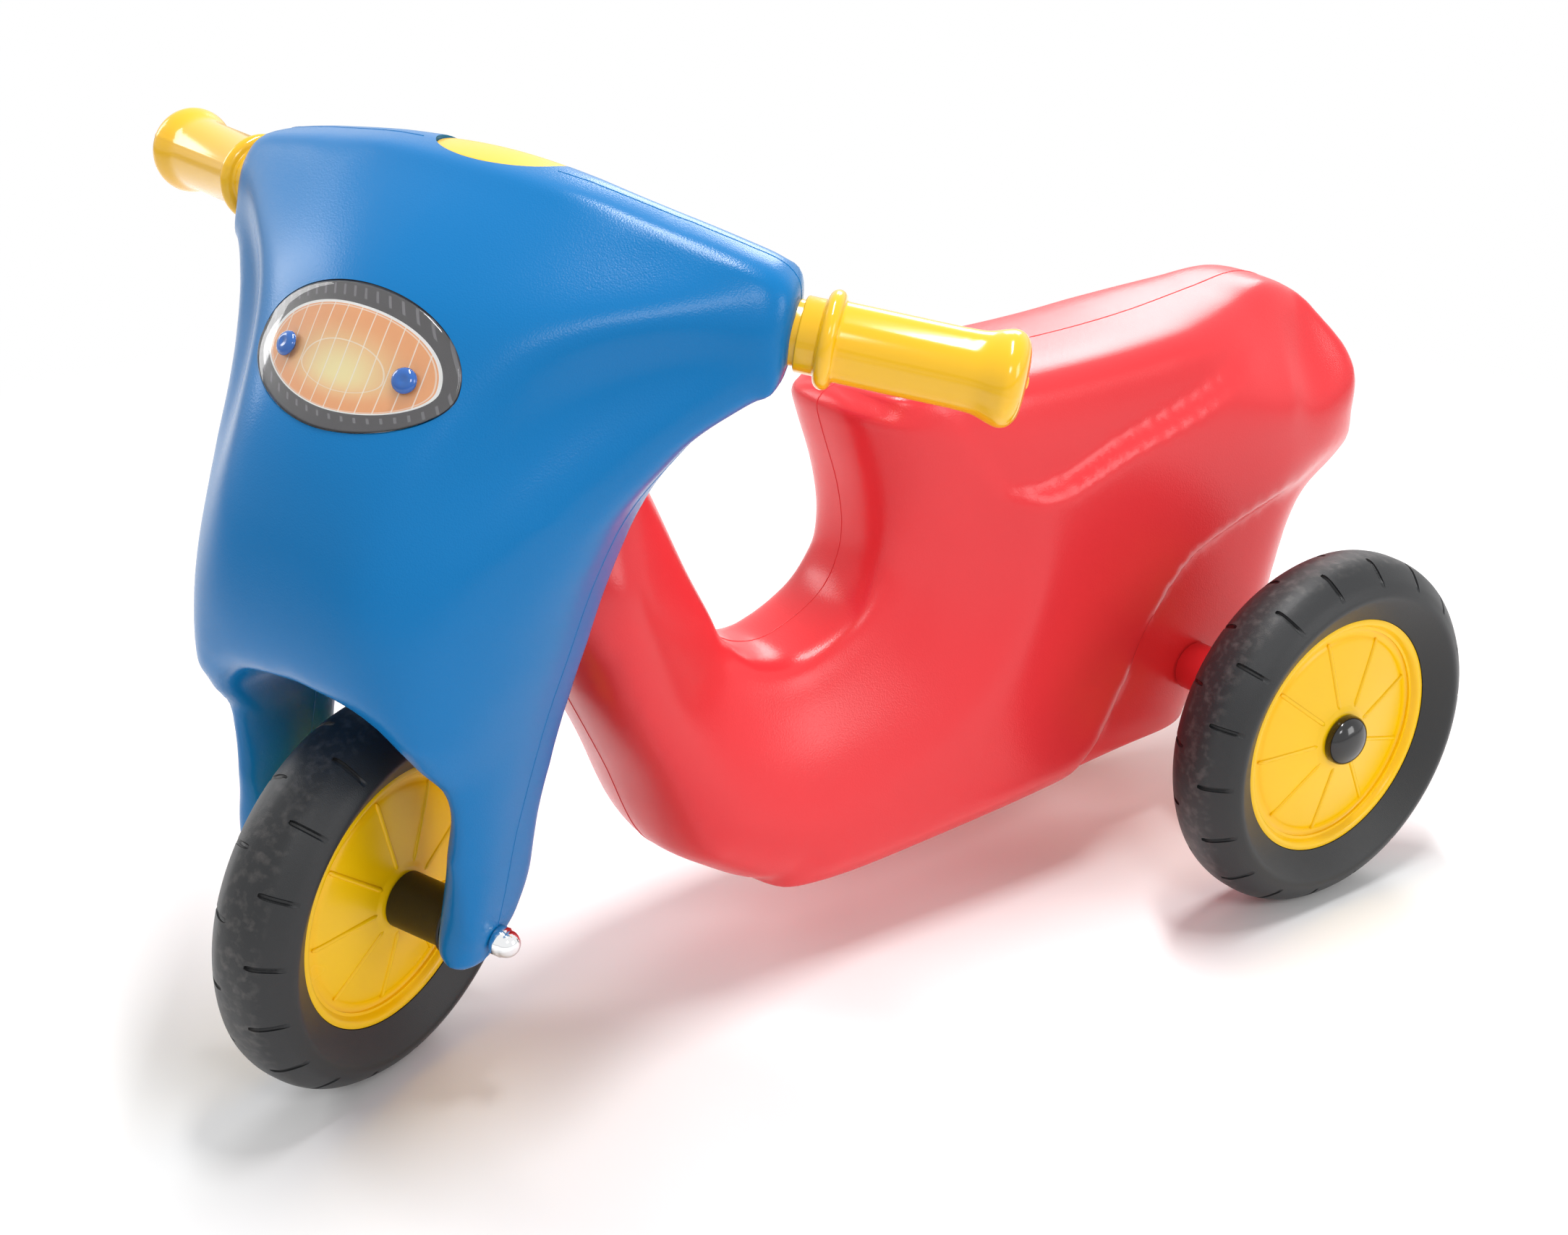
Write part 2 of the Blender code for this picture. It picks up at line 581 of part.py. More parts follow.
def make_body(red, steel, black, root):
    """The red body with the rear axle, its sleeves and caps, and the bushes of the steering."""
    creases = [(arch_crease(), ARCH_EDGE), (panel_crease(), PANEL_EDGE)]
    shell = add_piece("body_shell", moulding("body_shell", body_edges(), body_side(1), body_side(-1), creases),
                      red, root)
    half_bore = 2 * FLANK_HALF_WIDTH
    axle_bore = cutter("axle_bore_guide", rod("axle_bore_guide", AXLE_RADIUS + FIT, -half_bore, half_bore,
                                              AXLE_STEPS, shift(z=AXLE_HEIGHT)), root)
    head = shift(y=-WHEELBASE, z=AXLE_HEIGHT) @ along_axis()
    bush_bore = cutter("head_bore_guide", rod("head_bore_guide", STEERING_BUSH_RADIUS + FIT, HEAD_BOTTOM - 30.0,
                                              HEAD_TOP + 30.0, AXLE_STEPS, head), root)
    carve(shell, axle_bore, bush_bore)

    for name, seat_at, way in (("steering_bush_lower", HEAD_BOTTOM, 1), ("steering_bush_upper", HEAD_TOP, -1)):
        flange = seat_at - way * FIT
        bore = STEERING_PIN_RADIUS + RUNNING
        profile = [(flange - way * BUSH_FLANGE, bore), (flange - way * BUSH_FLANGE, BUSH_FLANGE_RADIUS),
                   (flange, BUSH_FLANGE_RADIUS), (flange, STEERING_BUSH_RADIUS),
                   (seat_at + way * STEERING_BUSH_LENGTH, STEERING_BUSH_RADIUS),
                   (seat_at + way * STEERING_BUSH_LENGTH, bore)]
        add_piece(name, turned(name, profile, AXLE_STEPS, head), black, root)

    hub_face = REAR_TRACK / 2 - HUB_HALF_WIDTH
    flank = FLANK_HALF_WIDTH - ARCH_DEPTH
    axle_end = REAR_TRACK / 2 + HUB_HALF_WIDTH + CAP_HEIGHT / 2
    add_piece("rear_axle", rod("rear_axle", AXLE_RADIUS, -axle_end, axle_end, AXLE_STEPS, shift(z=AXLE_HEIGHT)),
              steel, root)
    for side, sign in (("left", 1), ("right", -1)):
        place = shift(z=AXLE_HEIGHT) @ (Matrix.Identity(4) if sign > 0 else Matrix.Rotation(math.pi, 4, 'Z'))
        name = f"rear_spacer_{side}"
        add_piece(name, tube(name, SLEEVE_RADIUS, AXLE_RADIUS + FIT, flank + FIT, hub_face - RUNNING,
                             AXLE_STEPS + 4, place), black, root)
        name = f"rear_{side}_cap"
        start = REAR_TRACK / 2 + HUB_HALF_WIDTH + RUNNING
        dome = [(start, AXLE_RADIUS + FIT), (start, CAP_RADIUS), (start + CAP_RIM_HEIGHT, CAP_RADIUS)]
        for k in (1, 2, 3):
            lift = math.radians(22.5 * k)
            dome.append((start + CAP_RIM_HEIGHT + (CAP_HEIGHT - CAP_RIM_HEIGHT) * math.sin(lift),
                         CAP_RADIUS * math.cos(lift)))
        pocket = axle_end + FIT
        dome += [(start + CAP_HEIGHT, 0), (pocket, 0), (pocket, AXLE_RADIUS + FIT)]
        add_piece(name, cap_mesh(name, dome, place), black, root)


def cap_mesh(name, outline, place):
    """A turned cap whose pocket closes on the axis, so that it is one skin."""
    outer = outline[:-2]
    return turned(name, [outline[-2], outline[-1]] + outer, AXLE_STEPS + 4, place)


# Wheels

def make_wheel(prefix, bush_name, yellow, rubber, black, pivot):
    """A rubber tyre on a ribbed plastic rim, with a bush in its hub."""
    lip, half = RIM_LIP_RADIUS, TYRE_HALF_WIDTH
    shoulder, crown = TYRE_SHOULDER_RADIUS, WHEEL_RADIUS
    barrel = RIM_LIP_HALF_WIDTH - RIM_LIP_WIDTH
    side = [(barrel - FIT, TYRE_BORE_RADIUS), (barrel - FIT, lip + FIT), (RIM_LIP_HALF_WIDTH, lip + FIT),
            (half, shoulder), (half - 3.0, crown - 6.5), (half - 9.5, crown - 2.0), (half - 16.0, crown)]
    profile = side + [(-x, radius) for x, radius in reversed(side)]
    add_piece(f"{prefix}_tyre", turned(f"{prefix}_tyre", profile, WHEEL_STEPS), rubber, pivot)

    bore = WHEEL_BUSH_RADIUS + FIT
    channel = RIM_LIP_HALF_WIDTH - RIM_CHANNEL_DEPTH
    face = [(HUB_HALF_WIDTH, bore), (HUB_HALF_WIDTH, HUB_RADIUS), (HUB_HALF_WIDTH - 1.0, HUB_RADIUS + 2.0),
            (channel + 1.2, 44.0), (channel, 48.5), (RIM_LIP_HALF_WIDTH, lip - 2.6), (RIM_LIP_HALF_WIDTH, lip),
            (barrel, lip), (barrel, TYRE_BORE_RADIUS - FIT)]
    profile = face + [(-x, radius) for x, radius in reversed(face)]
    rim = add_piece(f"{prefix}_rim", turned(f"{prefix}_rim", profile, WHEEL_STEPS), yellow, pivot)
    carve(rim, rib_guide(prefix, pivot), join=True)

    wall = [(HUB_HALF_WIDTH - FIT, AXLE_RADIUS + RUNNING), (HUB_HALF_WIDTH - FIT, WHEEL_BUSH_RADIUS)]
    profile = wall + [(-x, radius) for x, radius in reversed(wall)]
    add_piece(bush_name, turned(bush_name, profile, AXLE_STEPS), black, pivot)


def rib_guide(prefix, pivot):
    """The raised ribs of both faces of one rim, as bars that follow the cone of the web."""
    slope = through([(HUB_RADIUS + 2.0, HUB_HALF_WIDTH - 1.0), (44.0, RIM_LIP_HALF_WIDTH - RIM_CHANNEL_DEPTH + 1.2)])
    points, faces = [], []
    radii = (RIB_INNER_RADIUS, RIB_OUTER_RADIUS)
    for k in range(RIB_COUNT):
        angle = RIB_PHASE + k * math.tau / RIB_COUNT
        out = Vector((0, math.cos(angle), math.sin(angle)))
        across = Vector((0, -math.sin(angle), math.cos(angle))) * RIB_WIDTH / 2
        start = len(points)
        for radius in radii:
            height = float(slope(radius)) + 0.9
            for x, side in ((height, -0.6), (height, 0.6), (height - 2.5, 1.0), (-height + 2.5, 1.0),
                            (-height, 0.6), (-height, -0.6), (-height + 2.5, -1.0), (height - 2.5, -1.0)):
                points.append(Vector((x, 0, 0)) + out * radius + across * side)
        for ring in range(len(radii) - 1):
            a = start + 8 * ring
            faces += [[a + i, a + (i + 1) % 8, a + 8 + (i + 1) % 8, a + 8 + i] for i in range(8)]
        faces += [[start + i for i in range(8)], [start + 8 + i for i in range(8)]]
    return cutter(f"{prefix}_rib_guide", closed_mesh(f"{prefix}_rib_guide", points, faces), pivot)


# Fairing, in its own frame: (x, y, height) from the centre of the front axle, straight ahead

def fairing_edges():
    """The fairing's front view as named edges, all the way round."""
    crown, span, high = CROWN_HEIGHT, SHOULDER_HALF_SPAN, SHOULDER_HEIGHT
    half, gap, leg = SHOULDER_HALF_HEIGHT, FORK_GAP_HALF_WIDTH, FORK_LEG_WIDTH
    roof = ARCH_ROOF_HEIGHT
    low = high - half
    top = [(span - 7.0, high + half), (0.87 * span, high + half + 3.6), (0.65 * span, high + half + 10.9),
           (0.33 * span, crown - 2.0), (0.0, crown)]
    end = [(span - 5.0, low + 2.5), (span - 0.8, low + 6.0), (span, low + 13.0), (span, high + 9.0),
           (span - 1.5, high + half - 6.0), (span - 7.0, high + half)]
    flank = [(gap + leg - 1.0, 12.0 - FORK_TIP_DROP), (gap + leg + 0.5, 20.0), (gap + leg + 1.0, 42.0),
             (gap + leg + 3.1, 66.0), (gap + leg + 6.4, 92.0), (gap + leg + 10.7, 116.0),
             (gap + leg + 14.5, 138.0), (gap + leg + 18.0, low - 62.0), (gap + leg + 24.3, low - 41.0),
             (gap + leg + 33.7, low - 23.0), (gap + leg + 41.5, low - 11.0), (span - 5.0, low + 2.5)]
    tip = [(gap, 4.5 - FORK_TIP_DROP), (gap + 2.5, 0.7 - FORK_TIP_DROP), (gap + 0.5 * leg, -FORK_TIP_DROP),
           (gap + leg - 4.0, 2.5 - FORK_TIP_DROP), (gap + leg - 1.0, 12.0 - FORK_TIP_DROP)]
    inner = [(gap + 0.5, roof - 33.0), (gap, roof - 60.0), (gap, 4.5 - FORK_TIP_DROP)]
    arch = [(0.0, roof), (gap - 27.0, roof - 0.7), (gap - 12.0, roof - 3.5), (gap - 3.0, roof - 13.0),
            (gap + 0.5, roof - 33.0)]
    right = [arch, inner, tip, flank, end, top]
    left = [[(-x, h) for x, h in reversed(edge)] for edge in reversed(right)]
    return right + left


def seam_back(x, height):
    """How far behind the front axle the fairing's parting face lies."""
    high = SHOULDER_HEIGHT
    raised = soft_step(height, high - 84.0, high)
    spread = 0.075 + 0.925 * np.clip(np.abs(x) / SHOULDER_HALF_SPAN, 0.0, 1.0) ** 2
    return height * math.tan(RAKE) - 2.0 + SHOULDER_SET_BACK * raised * spread


def front_centre(x, height):
    """The front face of the fairing, away from its edges, as a place along Y."""
    light, crown, roof = LIGHT_HEIGHT, CROWN_HEIGHT, ARCH_ROOF_HEIGHT
    line = through([(-20.0, -14.0), (0.0, -16.0), (22.0, -19.0), (49.0, -22.5), (76.0, -31.0),
                    (roof - 5.0, -45.5), (roof + 15.0, -49.5), (roof + 34.0, -52.3), (roof + 64.0, -48.3),
                    (light - 25.0, -37.0), (light - 1.0, -20.2), (light + 26.5, 0.5), (crown - 21.0, 18.7),
                    (crown - 10.5, 33.5), (crown - 4.5, 54.0)])
    upper = soft_step(height, roof + 37.0, light - 5.0)
    return line(height) + (0.0018 + 0.0137 * upper) * np.abs(x) ** 1.75 \
        + 0.0009 * upper * np.maximum(np.abs(x) - 50.0, 0.0) ** 2


def fairing_front_depth(flat, spans):
    """How far the front half stands out from the parting face."""
    top_edge = rounding((0.35, 9.0), (1.6, 17.0), (4.5, 26.0), (9.0, 37.0), (15.0, 58.0), (30.0, 120.0))
    end_edge = rounding((0.35, 10.0), (1.6, 16.0), (4.5, 22.0), (9.0, 38.0), (30.0, 120.0))
    flank_edge = rounding((0.35, 9.0), (1.6, 19.0), (4.5, 31.0), (9.0, 43.0), (15.0, 54.0), (25.0, 66.0),
                          (45.0, 84.0), (80.0, 120.0))
    tip_edge = rounding((0.35, 4.5), (1.6, 8.5), (4.5, 13.0), (9.0, 18.0), (20.0, 28.0), (40.0, 60.0))
    inner_edge = rounding((0.35, 9.0), (1.6, 17.0), (4.5, 28.0), (9.0, 46.0), (20.0, 120.0))
    arch_edge = rounding((0.35, 30.0), (1.6, 52.0), (4.5, 68.0), (9.0, 100.0), (20.0, 200.0))
    right = [arch_edge, inner_edge, tip_edge, flank_edge, end_edge, top_edge]
    edges = right + right[::-1]
    x, height = flat[:, 0], flat[:, 1]
    centre = largest(seam_back(x, height) - front_centre(x, height), SHOULDER_FRONT_DEPTH)
    reach = [edge(span) for edge, span in zip(edges, spans)]
    roof, high = ARCH_ROOF_HEIGHT, SHOULDER_HEIGHT
    low_end, high_end = roof - 43.0, high - 3.5
    fuller = through([(low_end, 1.11), (roof - 3.0, 1.38), (roof + 22.0, 1.24), (roof + 47.0, 1.08),
                      (high - 63.5, 0.88), (high - 33.5, 0.56), (high_end, 0.31)])(np.clip(height, low_end, high_end))
    for flank in (3, -4):
        swell = FLANK_SWELL * np.maximum(spans[flank] - FLANK_SWELL_START, 0.0) ** 2
        reach[flank] = reach[flank] * fuller + swell
    return smallest(centre, *reach)


def fairing_back_depth(flat, spans):
    """How far the back half stands out from the parting face."""
    leg_edge = rounding((0.35, 13.5), (1.6, 27.0), (4.5, 42.0), (9.0, 61.0), (20.0, 136.0))
    tip_edge = rounding((0.35, 4.5), (1.6, 8.5), (4.5, 13.0), (9.0, 18.0), (20.0, 28.0), (40.0, 60.0))
    end_edge = rounding((0.35, 7.0), (1.6, 12.0), (4.5, 18.0), (9.0, 26.0), (20.0, 60.0))
    top_edge = rounding((0.35, 3.0), (1.6, 7.0), (4.5, 11.5), (9.0, 16.0), (20.0, 24.0), (40.0, 60.0))
    roof_edge = rounding((0.35, 12.0), (1.6, 20.0), (4.5, 40.0), (20.0, 120.0))
    right = [roof_edge, leg_edge, tip_edge, leg_edge, end_edge, top_edge]
    edges = right + right[::-1]
    x, height = flat[:, 0], flat[:, 1]
    high = SHOULDER_HEIGHT
    plain = through([(-20.0, LEG_BACK_DEPTH), (10.0, LEG_BACK_DEPTH), (40.0, LEG_BACK_DEPTH - 6.5),
                     (80.0, LEG_BACK_DEPTH - 8.8), (ARCH_ROOF_HEIGHT + 14.0, LEG_BACK_DEPTH - 8.7),
                     (high - 80.0, LEG_BACK_DEPTH - 6.1), (high - 30.0, SHOULDER_BACK_DEPTH - 1.0),
                     (high, SHOULDER_BACK_DEPTH)])(np.minimum(height, high))
    middle = 1.0 - soft_step(np.abs(x), 0.0, 62.0)
    crown = 14.0 * soft_step(height, high - 20.0, high + 20.0) * middle
    reach = [edge(span) for edge, span in zip(edges, spans)]
    reach[5], reach[-6] = reach[5] * (1.0 + 0.85 * middle), reach[-6] * (1.0 + 0.85 * middle)
    return smallest(plain + crown, *reach)


def shear_ends(x, forward):
    """Slides the shoulder ends so that they face along the swept grips."""
    ramp = soft_step(np.abs(x), 0.5 * SHOULDER_HALF_SPAN, SHOULDER_HALF_SPAN)
    return x + np.sign(x) * math.tan(GRIP_SWEEP) * forward * ramp


def fairing_front(flat, spans):
    depth = fairing_front_depth(flat, spans)
    depth[spans_on_outline(spans)] = 0.0
    x, height = flat[:, 0], flat[:, 1]
    return np.stack([shear_ends(x, depth), seam_back(x, height) - depth, height], 1)


def fairing_back(flat, spans):
    depth = fairing_back_depth(flat, spans)
    depth[spans_on_outline(spans)] = 0.0
    x, height = flat[:, 0], flat[:, 1]
    return np.stack([shear_ends(x, -depth), seam_back(x, height) + depth, height], 1)


def recess_mesh():
    """The hollow for the column's head: round in front of the pin and open at the back."""
    back = 110.0
    outline = []
    for k in range(9):
        angle = math.radians(180.0 + 22.5 * k)
        outline.append((RECESS_RADIUS * math.cos(angle), RECESS_RADIUS * math.sin(angle)))
    outline += [(RECESS_HALF_WIDTH, RECESS_FLARE), (RECESS_HALF_WIDTH, back),
                (-RECESS_HALF_WIDTH, back), (-RECESS_HALF_WIDTH, RECESS_FLARE)]
    count = len(outline)
    points = [axis_place(u, b, x) for u in (WEB_TOP, RECESS_ROOF) for x, b in outline]
    faces = [list(range(count)), list(range(count, 2 * count))]
    faces += [[i, (i + 1) % count, count + (i + 1) % count, count + i] for i in range(count)]
    return closed_mesh("recess_guide", points, faces)


def oval_patch(name, margin, front, back, rings=3, steps=28):
    """An egg-shaped plate that follows the fairing's front face, from one offset to another behind it."""
    flat = [(0.0, 0.0)]
    for ring in range(1, rings + 1):
        for k in range(steps):
            angle = (k + 0.5) * math.tau / steps
            tall = LIGHT_UPPER_HEIGHT if angle < math.pi else LIGHT_LOWER_HEIGHT
            flat.append(((LIGHT_HALF_WIDTH + margin) * ring / rings * math.cos(angle),
                         (tall + margin) * ring / rings * math.sin(angle)))
    x = np.array([place[0] for place in flat])
    height = np.array([place[1] for place in flat]) + LIGHT_HEIGHT
    face = front_centre(x, height)
    points = [(x[i], face[i] + front, height[i]) for i in range(len(flat))]
    points += [(x[i], face[i] + back, height[i]) for i in range(len(flat))]
    count = len(flat)
    faces = []
    for base in (0, count):
        for k in range(steps):
            after = (k + 1) % steps
            faces.append([base, base + 1 + k, base + 1 + after])
            for ring in range(rings - 1):
                a = base + 1 + ring * steps
                faces.append([a + k, a + after, a + steps + after, a + steps + k])
    rim = 1 + (rings - 1) * steps
    faces += [[rim + k, rim + (k + 1) % steps, count + rim + (k + 1) % steps, count + rim + k]
              for k in range(steps)]
    return closed_mesh(name, points, faces)


def grip_frame(sign):
    """Turns a piece made along X so that it lies along one swept grip, with X pointing outwards."""
    out = Vector((sign * math.cos(GRIP_SWEEP) * math.cos(GRIP_DROP),
                  math.sin(GRIP_SWEEP) * math.cos(GRIP_DROP), -math.sin(GRIP_DROP)))
    seat = Vector((sign * SHOULDER_HALF_SPAN,
                   float(seam_back(SHOULDER_HALF_SPAN, SHOULDER_HEIGHT)), SHOULDER_HEIGHT))
    return Matrix.Translation(seat * MM) @ Vector((1, 0, 0)).rotation_difference(out).to_matrix().to_4x4()


def cap_mesh_on_crown(name, margin, low, high, rings=3, steps=28):
    """An oval plate on the crown, longest across the vehicle and bowed down to its rim, most at the back."""
    centre = Vector((0.0, CROWN_HEIGHT * math.tan(RAKE) + TOP_CAP_SET_BACK,
                     CROWN_HEIGHT - TOP_CAP_DROP - TOP_CAP_THICKNESS))
    points, faces = [], []
    for z in (low, high):
        points.append((0.0, 0.0, z))
        for ring in range(1, rings + 1):
            part = ring / rings
            for k in range(steps):
                angle = (k + 0.5) * math.tau / steps
                drop = TOP_CAP_DROP * part * part + TOP_CAP_BACK_DROP * max(0.0, part * math.sin(angle)) ** 2
                points.append(((TOP_CAP_HALF_LENGTH + margin) * part * math.cos(angle),
                               (TOP_CAP_HALF_WIDTH + margin) * part * math.sin(angle), z - drop))
    count = 1 + rings * steps
    for base in (0, count):
        for k in range(steps):
            after = (k + 1) % steps
            faces.append([base, base + 1 + k, base + 1 + after])
            for ring in range(rings - 1):
                a = base + 1 + ring * steps
                faces.append([a + k, a + after, a + steps + after, a + steps + k])
    rim = 1 + (rings - 1) * steps
    faces += [[rim + k, rim + (k + 1) % steps, count + rim + (k + 1) % steps, count + rim + k]
              for k in range(steps)]
    place = Matrix.Translation(centre * MM) @ Matrix.Rotation(-TOP_CAP_TILT, 4, 'X')
    return closed_mesh(name, points, faces, place)


def make_fairing(blue, yellow, steel, black, clear, print_finish, pivot):
    """The fairing and everything fixed to it."""
    fairing = add_piece("fairing", moulding("fairing", fairing_edges(), fairing_front, fairing_back), blue, pivot)
    axis = along_axis()
    far = FORK_GAP_HALF_WIDTH + 2 * FORK_LEG_WIDTH
    carve(fairing, cutter("recess_cut", recess_mesh(), pivot))
    bore = rod("pin_bore", STEERING_PIN_RADIUS + FIT, WEB_BOTTOM - 20.0, CROWN_HEIGHT + 40.0, AXLE_STEPS, axis)
    head_seat = CROWN_HEIGHT - PIN_HEAD_SINK
    counterbore = rod("counterbore", PIN_HEAD_RADIUS + FIT, head_seat, CROWN_HEIGHT + 40.0, AXLE_STEPS, axis)
    spot_face = rod("spot_face", WASHER_RADIUS + 1.5, WEB_BOTTOM - 30.0, WEB_BOTTOM, AXLE_STEPS, axis)
    axle_bore = rod("fork_bore", AXLE_RADIUS + FIT, -far, far, AXLE_STEPS)
    carve(fairing, *[cutter(mesh.name, mesh, pivot) for mesh in (bore, counterbore, spot_face, axle_bore)])
    cap_seat = cap_mesh_on_crown("cap_seat", FIT, -FIT, 30.0)
    light_seat = oval_patch("light_seat", FIT, -20.0, LIGHT_POCKET_DEPTH)
    carve(fairing, *[cutter(mesh.name, mesh, pivot) for mesh in (cap_seat, light_seat)])

    pin_low = WEB_BOTTOM - FIT - WASHER_THICKNESS - FIT - NUT_HEIGHT - PIN_TAIL
    profile = [(pin_low, 0), (pin_low, STEERING_PIN_RADIUS - 0.6), (pin_low + 0.6, STEERING_PIN_RADIUS),
               (head_seat + FIT, STEERING_PIN_RADIUS), (head_seat + FIT, PIN_HEAD_RADIUS),
               (head_seat + FIT + PIN_HEAD_HEIGHT - 1.5, PIN_HEAD_RADIUS),
               (head_seat + FIT + PIN_HEAD_HEIGHT, PIN_HEAD_RADIUS - 2.5), (head_seat + FIT + PIN_HEAD_HEIGHT, 0)]
    add_piece("steering_pin", turned("steering_pin", profile, AXLE_STEPS, axis), steel, pivot)
    washer_top = WEB_BOTTOM - FIT
    add_piece("steering_washer", tube("steering_washer", WASHER_RADIUS, STEERING_PIN_RADIUS + FIT,
                                      washer_top - WASHER_THICKNESS, washer_top, AXLE_STEPS, axis), steel, pivot)
    nut_top = washer_top - WASHER_THICKNESS - FIT
    add_piece("steering_nut", nut_mesh("steering_nut", NUT_WIDTH, STEERING_PIN_RADIUS + FIT,
                                       nut_top - NUT_HEIGHT, nut_top, axis), steel, pivot)

    add_piece("top_cap", cap_mesh_on_crown("top_cap", 0.0, 0.0, TOP_CAP_THICKNESS), yellow, pivot)
    make_grips(fairing, yellow, pivot)
    make_headlight(fairing, blue, clear, print_finish, pivot)
    make_front_axle(steel, black, pivot)


def nut_mesh(name, width, bore, start, end, place):
    """A hexagon nut along X, with its bore."""
    steps = 24
    points, faces = [], []
    for x in (start, end):
        for k in range(steps):
            angle = (k + 0.5) * math.tau / steps
            sector = (angle % (math.tau / 6)) - math.pi / 6
            radius = width / 2 / math.cos(sector)
            points.append((x, radius * math.cos(angle), radius * math.sin(angle)))
        for k in range(steps):
            angle = (k + 0.5) * math.tau / steps
            points.append((x, bore * math.cos(angle), bore * math.sin(angle)))
    for k in range(steps):
        n = (k + 1) % steps
        faces += [[k, n, 2 * steps + n, 2 * steps + k], [steps + k, steps + n, 3 * steps + n, 3 * steps + k],
                  [k, n, steps + n, steps + k], [2 * steps + k, 2 * steps + n, 3 * steps + n, 3 * steps + k]]
    return closed_mesh(name, points, faces, place)


def make_grips(fairing, yellow, pivot):
    """Two grips, each a moulded handle whose plug sits in the shoulder of the fairing."""
    collar, bead = GRIP_COLLAR_LENGTH, GRIP_BEAD_WIDTH
    end = collar + bead / 2 + GRIP_LENGTH
    start = RUNNING + 1.2
    for side, sign in (("left", 1), ("right", -1)):
        frame = grip_frame(sign)
        socket = rod(f"grip_socket_{side}", GRIP_PLUG_RADIUS + FIT, -GRIP_PLUG_LENGTH - FIT, 40.0, AXLE_STEPS + 4,
                     frame)
        carve(fairing, cutter(f"grip_socket_{side}", socket, pivot))
        profile = [(-GRIP_PLUG_LENGTH, 0), (-GRIP_PLUG_LENGTH, GRIP_PLUG_RADIUS - 1.0),
                   (-GRIP_PLUG_LENGTH + 1.0, GRIP_PLUG_RADIUS), (start, GRIP_PLUG_RADIUS),
                   (start, GRIP_RADIUS - 0.7), (collar, GRIP_RADIUS - 0.7)]
        for k in range(3):
            angle = math.radians(-50.0 + 50.0 * k)
            profile.append((collar + bead / 2 + bead / 2 * math.sin(angle),
                            GRIP_RADIUS + (GRIP_BEAD_RADIUS - GRIP_RADIUS) * math.cos(angle)))
        profile += [(collar + bead, GRIP_RADIUS), (end - 16.0, GRIP_RADIUS), (end - 8.0, GRIP_RADIUS + 0.8),
                    (end - 2.0, GRIP_END_RADIUS), (end + 2.5, GRIP_END_RADIUS - 0.6),
                    (end + 5.5, GRIP_END_RADIUS - 3.6), (end + 6.8, 0)]
        add_piece(f"grip_{side}", turned(f"grip_{side}", profile, AXLE_STEPS + 8, frame), yellow, pivot)


def make_headlight(fairing, blue, clear, print_finish, pivot):
    """The oval headlight: a printed plate under a clear cover, held by two studs."""
    deep = LIGHT_POCKET_DEPTH - FIT
    panel_front = deep - LIGHT_PANEL_THICKNESS
    lens_back = panel_front - FIT
    lens_front = lens_back - LIGHT_LENS_THICKNESS
    panel = add_piece("headlight_panel", oval_patch("headlight_panel", 0.0, panel_front, deep), print_finish, pivot)
    lens = add_piece("headlight_lens", oval_patch("headlight_lens", 0.0, lens_front, lens_back), clear, pivot)
    for side, sign in (("left", 1), ("right", -1)):
        x = sign * STUD_SPACING / 2
        height = LIGHT_HEIGHT + STUD_RISE
        face = float(front_centre(x, height)) + lens_front
        outwards = Vector((float(front_centre(x + 1.0, height) - front_centre(x - 1.0, height)) / 2, -1.0,
                           float(front_centre(x, height + 1.0) - front_centre(x, height - 1.0)) / 2))
        tilt = Vector((1, 0, 0)).rotation_difference(outwards).to_matrix().to_4x4()
        place = shift(x, face, height) @ tilt
        hole = rod(f"stud_hole_{side}", STUD_STEM_RADIUS + FIT, -STUD_STEM_LENGTH - FIT, 12.0, 14, place)
        guide = cutter(f"stud_hole_{side}", hole, pivot)
        for piece in (fairing, panel, lens):
            carve(piece, guide)
        stand = 0.8
        profile = [(-STUD_STEM_LENGTH, 0), (-STUD_STEM_LENGTH, STUD_STEM_RADIUS), (stand, STUD_STEM_RADIUS),
                   (stand, STUD_HEAD_RADIUS), (stand + 0.9, STUD_HEAD_RADIUS - 0.2),
                   (stand + 1.8, STUD_HEAD_RADIUS - 1.5), (stand + 2.3, 0)]
        add_piece(f"headlight_stud_{side}", turned(f"headlight_stud_{side}", profile, 14, place), blue, pivot)


